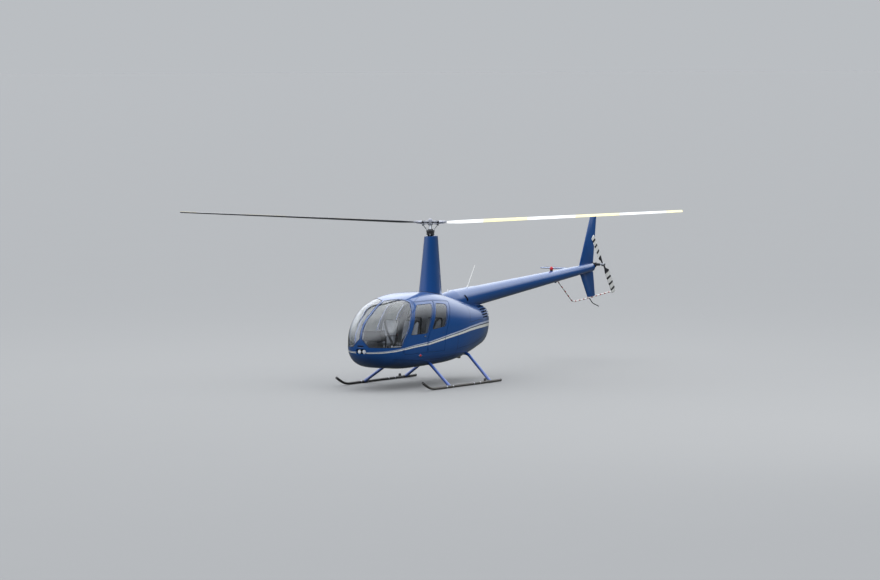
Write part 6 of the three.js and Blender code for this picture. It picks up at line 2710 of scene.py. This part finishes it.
@dataclass
class Rotor:
    """The mast fairing, the mast with its swashplate, the teetering hub and both main blades."""

    tower: tuple = ((1.680, 0.337, 0.204, -0.017), (1.830, 0.320, 0.192, -0.020), (2.100, 0.290, 0.170, -0.025),
                    (2.500, 0.245, 0.138, -0.032), (2.930, 0.196, 0.108, -0.040))
    tower_wall: float = 0.016
    hub_z: float = 3.200
    azimuth: float = -57.5
    coning: float = 2.5
    blade_rows: tuple = ((0.3303, 0.150, 11.5), (0.420, 0.180, 11.3), (0.620, 0.254, 11.0), (2.000, 0.254, 9.0),
                         (3.500, 0.254, 6.7), (4.860, 0.254, 4.7), (5.029, 0.254, 4.5))
    blade_bands: tuple = (1.06, 1.95, 2.90, 3.78, 4.70)
    first_dark_column: int = 13

    def build(self, machine: Machine) -> None:
        """Adds the mast fairing, the swashplate, the head and the blades.

        Args:
            machine: The machine.
        """
        self.fairing(machine)
        self.fixed_plate(machine)
        self.head(machine)
        self.blades(machine)

    def ring(self, z: np.ndarray, inset: float = 0.0, sides: int = 64) -> np.ndarray:
        """Returns the tower's rings at heights: x = middle + a cos t, y = b sin t (0.8 + 0.3 cos t).

        Args:
            z: The heights.
            inset: How far inside the outer face.
            sides: Points in each ring.

        Returns:
            The rings.
        """
        table = np.array(self.tower)
        a, b, middle = (np.interp(z, table[:, 0], table[:, k])[:, None] for k in (1, 2, 3))
        c, s = circle(sides).T[:, None]
        x, y = middle + (a - inset) * c, (b - inset) * s * (0.8 + 0.3 * c)
        return np.stack([x, y, np.broadcast_to(z[:, None], x.shape)], -1)

    def fairing(self, machine: Machine) -> None:
        """Adds the mast fairing: a closed wall with a rolled top edge, a foot strip, a rear seam and screws.

        The foot strip is a ring of the tower whose points stand on the pod's roof: z = wide + reach
        (1 - |y / half|^n)^(1 / n).

        Args:
            machine: The machine.
        """
        skin = POD_SKIN
        z = np.concatenate([np.linspace(1.70, 2.924, 40), [2.928]])
        lip = self.ring(np.array([2.930]), 0.003)
        outer, inner = np.concatenate([self.ring(z), lip]), self.ring(z[::-1], self.tower_wall)
        wall = grid(np.concatenate([outer, inner, outer[:1]]), around=True)
        rows = np.linspace(1.92, 2.90, 18)
        seam = self.ring(rows)
        heads = [studs(seam[:, k], (-0.55, side, 0), 0.004, 0.002) for k, side in ((28, 0.83), (36, -0.83))]
        low = self.ring(np.full(1, 1.76), sides=96)[0]
        _, half, top, _, wide, power, _ = skin.section(skin.station(low[:, 0]))
        low[:, 2] = wide + (top - wide) * (1 - np.abs(low[:, 1] / half) ** power) ** (1 / power) + 0.003
        strip = sweep(low, circle(8, 0.007, 0.6), loop=True, finish=1)
        machine.add("mast_fairing_skin", join(wall, heads, strip), (Coat.BLUE, Coat.SEAM),
                    replaces=("mast_fairing",), slot="body_paint")

    def fixed_plate(self, machine: Machine) -> None:
        """Adds the standpipe, its rubber boot, the fixed swashplate half, and three push rods.

        Args:
            machine: The machine.
        """
        pipe = lathe([(1.705, 0.080), (1.875, 0.080), (1.880, 0.076), (1.882, 0.043), (2.900, 0.043)], sides=40,
                     finish=1)
        z = np.linspace(2.895, 2.950, 23)
        boot = lathe(np.stack([z, 0.052 + 0.006 * np.cos(2 * np.pi * (z - 2.895) / 0.011)], 1), sides=40, finish=2)
        plate = lathe([(2.950, 0.046), (2.954, 0.072), (2.958, 0.078), (2.974, 0.080), (2.978, 0.076), (2.990, 0.076),
                       (2.994, 0.080), (3.008, 0.080), (3.012, 0.076), (3.012, 0.033), (2.960, 0.033)], sides=48)
        rods = []
        for degrees in (30, 150, 270):
            c, s = math.cos(math.radians(degrees)), math.sin(math.radians(degrees))
            rods.append(rod((0.066 * c, 0.060 * s, 2.60), (0.070 * c, 0.066 * s, 2.972), 0.0065, 12, finish=1))
            rods.append(lathe([(-0.010, 0.006), (-0.008, 0.011), (0.008, 0.011), (0.010, 0.006)],
                              (0.074 * c, 0.074 * s, 2.966), (-s, c, 0), 16, finish=1))
        ring = ring_of(View.TOP, (0, 0, 2.984), 12, 0.0793)
        bolts = studs(ring, ring * [1, 1, 0], 0.004, 0.003, finish=1)
        machine.add("swashplate_looks", join(pipe, boot, plate, rods, bolts), (Coat.BLACK, Coat.METAL, Coat.RUBBER),
                    replaces=("swashplate",))

    def frame(self, half_turn: float = 0.0, cone: bool = True) -> np.ndarray:
        """Returns the matrix that lays a blade's x axis along its line from the hub.

        Args:
            half_turn: 0 for one blade and 180 for the other.
            cone: Whether the blades' upward lean is in it.

        Returns:
            The matrix.
        """
        place = turned("Z", self.azimuth + half_turn) @ turned("Y", -self.coning if cone else 0.0)
        place[2, 3] = self.hub_z
        return place

    def head(self, machine: Machine) -> None:
        """Adds the mast, the turning swashplate half, hub plates, spindles, grips, horns and pitch links.

        Args:
            machine: The machine.
        """
        mast = lathe([(1.906, 0.0312), (3.15, 0.0312), (3.152, 0.030)], sides=40, finish=1)
        plate = lathe([(3.018, 0.036), (3.018, 0.080), (3.021, 0.086), (3.040, 0.086), (3.043, 0.080), (3.052, 0.078),
                       (3.056, 0.060), (3.072, 0.056), (3.072, 0.036)], sides=48)
        bolts = studs(ring_of(View.TOP, (0, 0, 3.0525), 12, 0.068), UP, 0.005, 0.004, finish=1)
        teeter = lathe([(3.150, 0.034), (3.156, 0.048), (3.176, 0.048), (3.178, 0.045), (3.222, 0.044), (3.225, 0.047),
                        (3.240, 0.046), (3.243, 0.041), (3.262, 0.040), (3.268, 0.034), (3.277, 0.020),
                        (3.277, 0.0)], sides=40)
        cross = self.yoke().moved(self.frame(cone=False))
        arms = [self.arm().moved(self.frame(half_turn)) for half_turn in (0, 180)]
        links = [self.link(half_turn) for half_turn in (0, 180)]
        machine.add("rotor_head_looks", join(mast, plate.painted(4), bolts, teeter, cross, arms, links),
                    (Coat.HEAD, Coat.METAL, Coat.RUBBER, Coat.BRIGHT, Coat.DARK), body="main_rotor",
                    replaces=("rotor_head",))

    @staticmethod
    def yoke() -> Form:
        """The hub: two waisted plates with web blocks between them and the teeter bolt across.

        Returns:
            The hub.
        """
        quarter = np.array([(0.050, -0.046), (0.110, -0.052), (0.150, -0.040)])
        half = np.concatenate([quarter[::-1] * [-1, 1], quarter])
        plates = [slab(View.TOP, np.concatenate([half, -half]), low, high, 0.003, corner=0.020)
                  for low, high in ((-0.030, -0.014), (0.014, 0.030))]
        web = block((-0.060, -0.034, -0.016), (0.060, 0.034, 0.016), 0.003, 0.006)
        pin = lathe([(-0.062, 0.009), (-0.061, 0.014), (-0.053, 0.014), (-0.052, 0.009), (0.052, 0.009),
                     (0.053, 0.014), (0.061, 0.014), (0.062, 0.009)], (0, 0, 0), PORT, 20, finish=1)
        ends = []
        for x in (-0.115, 0.115):
            ends.append(lathe([(-0.038, 0.008), (-0.037, 0.014), (-0.030, 0.014), (-0.030, 0.010), (0.030, 0.010),
                               (0.030, 0.015), (0.038, 0.015), (0.039, 0.008), (0.046, 0.007), (0.046, 0.0)],
                              (x, 0, 0), sides=12, finish=1))
        # The web block between the plates is dark enamel: painted shade in the gaps between the plates
        return join(plates, web.painted(4), pin, ends)

    @staticmethod
    def arm() -> Form:
        """A blade's spindle, its ribbed boot, the forked grip with its bolts, the pitch horn and the droop tusk.

        Returns:
            The parts, with the blade along x.
        """
        spindle = lathe([(0.060, 0.012), (0.096, 0.013), (0.098, 0.028), (0.128, 0.031), (0.132, 0.026)], (0, 0, 0),
                        AHEAD, 28, finish=1)
        x = np.linspace(0.130, 0.172, 25)
        boot = lathe(np.stack([x, 0.028 + 0.004 * np.cos(2 * np.pi * (x - 0.130) / 0.0105)], 1), (0, 0, 0), AHEAD,
                     28, finish=2)
        barrel = lathe([(0.170, 0.026), (0.173, 0.033), (0.200, 0.033), (0.204, 0.030), (0.262, 0.029),
                        (0.286, 0.022), (0.290, 0.016)], (0, 0, 0), AHEAD, 32)
        outline = round_corners([(0.240, -0.034), (0.262, -0.080), (0.330, -0.085), (0.330, 0.058), (0.262, 0.050),
                                 (0.240, 0.034)], 0.012)
        cheeks = [slab(View.TOP, outline, low, high, 0.002) for low, high in ((-0.016, -0.009), (0.009, 0.016))]
        core = slab(View.TOP, shrink(outline, 0.004), -0.0095, 0.0095, 0.001)
        places = np.array([(0.284, -0.058), (0.284, 0.030), (0.315, -0.062), (0.315, -0.020), (0.315, 0.036)])
        bolts = []
        for side in (1, -1):
            points = np.column_stack([places, np.full(len(places), 0.016 * side)])
            bolts.append(studs(points, (0, 0, side), 0.0075, 0.006, finish=1))
        horn = slab(View.TOP, [(0.158, 0.010), (0.190, 0.010), (0.188, 0.120), (0.184, 0.131), (0.166, 0.131),
                               (0.162, 0.120)], -0.013, 0.009, 0.002, corner=0.006)
        tusk = join(rod((0.098, 0, -0.022), (0.146, 0, -0.052), 0.010, 14),
                    lathe([(-0.020, 0.010), (-0.016, 0.016), (0.016, 0.016), (0.020, 0.010)], (0.150, 0, -0.052),
                          PORT, 20))
        return join(spindle, boot, barrel, cheeks, core, bolts, join(horn, tusk).painted(4))

    def link(self, half_turn: float) -> Form:
        """A pitch link: a tube with an eye at each end, from the turning plate to the horn.

        Args:
            half_turn: 0 for one blade and 180 for the other.

        Returns:
            The link.
        """
        turn = math.radians(self.azimuth + half_turn)
        c, s = math.cos(turn), math.sin(turn)
        low = np.array([0.060 * c - 0.050 * s, 0.060 * s + 0.050 * c, 3.050])
        high = np.array([0.175 * c - 0.118 * s, 0.175 * s + 0.118 * c, self.hub_z + 0.004])
        reach = np.linalg.norm(high - low)
        bar = lathe([(0.006, 0.004), (0.010, 0.0065), (0.030, 0.0065), (0.032, 0.0085), (reach - 0.032, 0.0085),
                     (reach - 0.030, 0.0065), (reach - 0.012, 0.0065), (reach - 0.008, 0.004)], low, high - low, 16, 1)
        eyes = [lathe([(-0.009, 0.004), (-0.007, 0.0088), (0.007, 0.0088), (0.009, 0.004)], point, (c, s, 0), 16, 3)
                for point in (low + (high - low) * 0.03, high - (high - low) * 0.03)]
        return join(bar, eyes)

    def blades(self, machine: Machine) -> None:
        """Adds both blades: banded on top, dark below and along the top of the leading edge, with a tip cap.

        Args:
            machine: The machine.
        """
        table = np.array(self.blade_rows)
        tip = table[-1, 0]
        stops = np.unique(np.round([*np.linspace(0.3303, 0.62, 8), *np.linspace(0.62, 4.86, 60), *self.blade_bands,
                                    4.90, 4.96, 4.99], 4))
        stops = np.concatenate([stops, [tip - 0.015, tip - 0.004, tip]])
        chord, pitch = (np.interp(stops, table[:, 0], table[:, k]) for k in (1, 2))
        chord[-3:] *= (0.985, 0.93, 0.86)
        middle = (stops[1:] + stops[:-1]) / 2
        band = np.searchsorted(self.blade_bands, middle) % 2
        below = np.arange(BLADE_COLUMNS) >= self.first_dark_column
        finish = np.where(below[None, :], 2, band[:, None])
        blade = blade_form(stops, chord, pitch, 0.07, 0.045, finish, tip_share=(0.75, 0.25))
        for name, half_turn in (("a", 0), ("b", 180)):
            machine.add(f"main_blade_{name}_looks", blade.moved(self.frame(half_turn)),
                        (Coat.WHITE, Coat.YELLOW, Coat.DARK), body="main_rotor",
                        replaces=(f"main_blade_{name}",), slot="blade_paint")


# Landing gear


@dataclass
class LandingGear:
    """Both skids with their shoes, caps and brackets, and the cross tubes with their clamps."""

    track: float = 1.055
    skid_radius: float = 0.026
    axis_z: float = 0.030
    tube_radius: float = 0.031
    skid: tuple = ((-0.920, 0.030), (1.470, 0.030), (1.740, 0.172))
    shoes: tuple = (0.840, -0.080)
    bracket: tuple = (-0.410, -0.330)
    front: tuple = (0.830, 0.700, 0.470, 0.455)
    rear: tuple = (-0.550, -0.700, 0.400, 0.548)

    def build(self, machine: Machine) -> None:
        """Adds the skids and the cross tubes.

        Args:
            machine: The machine.
        """
        for name, side in SIDES:
            machine.add(f"skid_{name}_looks", self.skid_form().on_side(side), (Coat.BLACK, Coat.METAL, Coat.RUBBER),
                        replaces=(f"skid_{name}",))
        for name, table in (("front", self.front), ("rear", self.rear)):
            machine.add(f"crosstube_{name}_looks", self.cross_tube(*table), (Coat.STRUT, Coat.RUBBER, Coat.METAL),
                        replaces=(f"crosstube_{name}",), slot="body_paint")

    def skid_form(self) -> Form:
        """The port skid: a tube turned up at its front, end caps, shoes, saddles and the wheel bracket.

        Returns:
            The skid.
        """
        y, r = self.track, self.skid_radius
        path = spaced(bent_path([(x, y, z) for x, z in self.skid], 0.15, 14), 0.03)
        bar = tube(path, r, 24, side=PORT)
        caps = []
        for end, before in ((path[0], path[1]), (path[-1], path[-2])):
            caps.append(lathe([(-0.02, r + 0.0012), (0.002, r + 0.0012), (0.006, r - 0.004), (0.007, r - 0.010),
                               (0.007, 0.0)], end - 0.007 * unit(end - before), end - before, 24, finish=2))
        shoes, straps = [], []
        for x in self.shoes:
            shoes.append(block((x - 0.14, y - 0.016, 0.0), (x + 0.14, y + 0.016, 0.014), 0.003, 0.008, finish=1))
            for place in (x - 0.105, x + 0.105):
                straps.append(lathe([(-0.012, r + 0.0005), (-0.011, r + 0.0025), (0.011, r + 0.0025),
                                     (0.012, r + 0.0005)], (place, y, self.axis_z), AHEAD, 24, finish=1))
        low, high = self.bracket
        plate = slab(View.SIDE, [(low, 0.040), (high, 0.040), (high - 0.006, 0.104), (low + 0.012, 0.104)],
                     y - 0.009, y + 0.009, 0.002, corner=0.012)
        hole = lathe([(-0.012, 0.008), (-0.011, 0.013), (0.011, 0.013), (0.012, 0.008)],
                     ((low + high) / 2 + 0.01, y, 0.082), PORT, 20, finish=1)
        saddles = []
        for x in (self.front[0], self.rear[0]):
            saddles.append(lathe([(-0.045, r), (-0.044, r + 0.004), (0.044, r + 0.004), (0.045, r)],
                                 (x, y, self.axis_z), AHEAD, 24))
            bolts = [(x + dx, y, self.axis_z + r + 0.004) for dx in (-0.034, 0.034)]
            saddles.append(studs(bolts, UP, 0.007, 0.006, finish=1))
        return join(bar, caps, shoes, straps, plate, hole, saddles)

    def cross_tube(self, x: float, level_x: float, level_y: float, level_z: float) -> Form:
        """One cross tube from skid to skid through the pod, with a bolted cuff at each skid.

        Args:
            x: How far ahead it stands on the skids.
            level_x: How far ahead its level part is.
            level_y: Where that part ends.
            level_z: How high it is.

        Returns:
            The tube.
        """
        r = self.tube_radius
        half = [(x, self.track, self.skid_radius + 0.004), (level_x, level_y, level_z)]
        line = np.array([*half, *[(a, -b, c) for a, b, c in half[::-1]]])
        path = spaced(bent_path(line, 0.07, 10), 0.02)
        bar = tube(path, r, 28, side=AHEAD)
        along = unit(line[1] - line[0])
        cuff = lathe([(0.020, r), (0.022, r + 0.003), (0.085, r + 0.003), (0.090, r)], line[0], along, 28)
        bolts = studs(line[0] + np.outer((0.04, 0.07), along) + [r + 0.003, 0, 0], AHEAD, 0.006, 0.005, finish=2)
        return join(bar, mirror_pair(join(cuff, bolts)))


# The studio


@dataclass
class Studio:
    """The floor, the soft lights and the camera, which stands where the photographer stood."""

    bearing: float = 35.85
    elevation: float = 3.7
    roll: float = -0.31
    distance: float = 70.0
    focal_pixels: float = 3502.1
    aim: tuple = (0.0, 0.0, 1.7)
    aim_pixel: tuple = (430.8, 297.55)
    picture: tuple = (880, 580)
    sensor: float = 36.0
    floor_half: float = 2000.0
    light_colour: Colour = (1.0, 0.99, 0.97)
    dark_bearing: float = 100.0
    sky_behind: Colour = (0.50, 0.54, 0.60)
    sky_near: Colour = (0.06, 0.07, 0.08)
    sky_top: Colour = (1.40, 1.45, 1.54)
    sky_in_gloss: Colour = (2.1, 2.2, 2.35)
    backdrop: Colour = (0.493, 0.514, 0.539)

    def build(self, machine: Machine) -> None:
        """Adds the camera, the floor and the lights.

        Args:
            machine: The machine.
        """
        self.camera(machine)
        self.floor()
        self.lights(machine)
        bpy.context.scene.view_settings.view_transform = "Standard"

    def camera(self, machine: Machine) -> None:
        """Adds the camera: the aim point falls on its pixel, and the view is rolled slightly.

        Args:
            machine: The machine.
        """
        bearing, rise, roll = (math.radians(v) for v in (self.bearing, self.elevation, self.roll))
        back = np.array([math.cos(rise) * math.cos(bearing), math.cos(rise) * math.sin(bearing), math.sin(rise)])
        right = unit(np.cross(-back, UP))
        up = np.cross(right, -back)
        right, up = (math.cos(roll) * right + math.sin(roll) * up, math.cos(roll) * up - math.sin(roll) * right)
        offset = (np.array(self.aim_pixel) - np.array(self.picture) / 2) / self.focal_pixels * self.distance
        place = np.array(self.aim) + back * self.distance - right * offset[0] + up * offset[1]
        camera = bpy.data.cameras.new("camera")
        camera.sensor_width = self.sensor
        camera.lens = self.focal_pixels / self.picture[0] * self.sensor
        camera.clip_start, camera.clip_end = 1.0, 4000.0
        stand = placed("camera", camera)
        stand.matrix_world = Matrix(frame_matrix(place + [machine.mast_x, 0, 0], right, up, back).tolist())
        bpy.context.scene.camera = stand

    def floor(self) -> None:
        """Adds a wide floor with its top at ground level: pale to the camera, and darker in the machine's gloss as a
        painted reflection.
        """
        half = self.floor_half
        mesh = bpy.data.meshes.new("floor")
        mesh.from_pydata([(x, y, 0) for x, y in rectangle(-half, -half, half, half)], [], [(0, 1, 2, 3)])
        mesh.materials.append(Coat.FLOOR.value.material())
        placed("floor", mesh)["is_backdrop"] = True

    def lights(self, machine: Machine) -> None:
        """Adds an even studio sky and two wide soft lights, above and to port.

        The sky is bright overhead and low down to starboard, and dark low down to port, so that gloss runs from
        pale on top to deep on the sides. Where it shows itself it has the floor's own tone.

        Args:
            machine: The machine.
        """
        world = bpy.data.worlds.new("sky")
        world.use_nodes = True
        bpy.context.scene.world = world
        nodes = Nodes(world.node_tree)
        way = nodes.add("TexCoord").outputs["Generated"]
        height = nodes.add("SeparateXYZ", i0=way).outputs[2]
        bearing = math.radians(self.dark_bearing)
        towards = (math.cos(bearing), math.sin(bearing), 0.0)
        facing = nodes.add("VectorMath", {"operation": "DOT_PRODUCT"}, i0=way, i1=towards).outputs["Value"]
        near = nodes.math("MULTIPLY_ADD", facing, 0.9, 0.5, clamp=True)
        low = nodes.mix(near, self.sky_behind, self.sky_near)
        above = nodes.math("SUBTRACT", height, nodes.math("MULTIPLY_ADD", near, 0.08, 0.06))
        path = nodes.add("LightPath").outputs
        high = nodes.mix(path["Is Glossy Ray"], self.sky_top, self.sky_in_gloss)
        colour = nodes.mix(nodes.math("MULTIPLY", above, 3.0, clamp=True), low, high)
        seen = nodes.mix(path["Is Camera Ray"], colour, self.backdrop)
        sky = nodes.add("Background", Color=seen, Strength=1.0)
        nodes.add("OutputWorld", Surface=sky.outputs[0])
        self.area("overhead", machine, (-3.0, -2.0, 16.0), (0.0, 0.0, 1.0), 14.0, 500)
        self.area("port", machine, (4.0, 15.0, 11.0), (-1.5, 0.0, 1.6), 9.0, 350)

    def area(self, name: str, machine: Machine, place: Place, target: Place, size: float, power: float) -> None:
        """Adds a round soft light that faces a point and doesn't show in gloss.

        Args:
            name: The light's name.
            machine: The machine.
            place: Where it is.
            target: The point that it faces.
            size: Its width.
            power: Its power in watts.
        """
        light = bpy.data.lights.new(name, "AREA")
        light.shape, light.size, light.energy, light.color = "DISK", size, power, self.light_colour
        lamp = placed(name, light)
        lamp.visible_glossy = False
        shift = Vector((machine.mast_x, 0, 0))
        start, end = Vector(place) + shift, Vector(target) + shift
        lamp.matrix_world = Matrix.Translation(start) @ (end - start).to_track_quat("-Z", "Y").to_matrix().to_4x4()


def main() -> None:
    """Builds every sub-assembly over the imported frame."""
    logging.basicConfig(level=logging.INFO, format="%(message)s")
    machine = Machine()
    for part in (Studio(), Pod(), Cabin(), Tail(), Rotor(), LandingGear()):
        part.build(machine)
        log.info("%s is built", type(part).__name__)


if __name__ == "__main__":
    main()
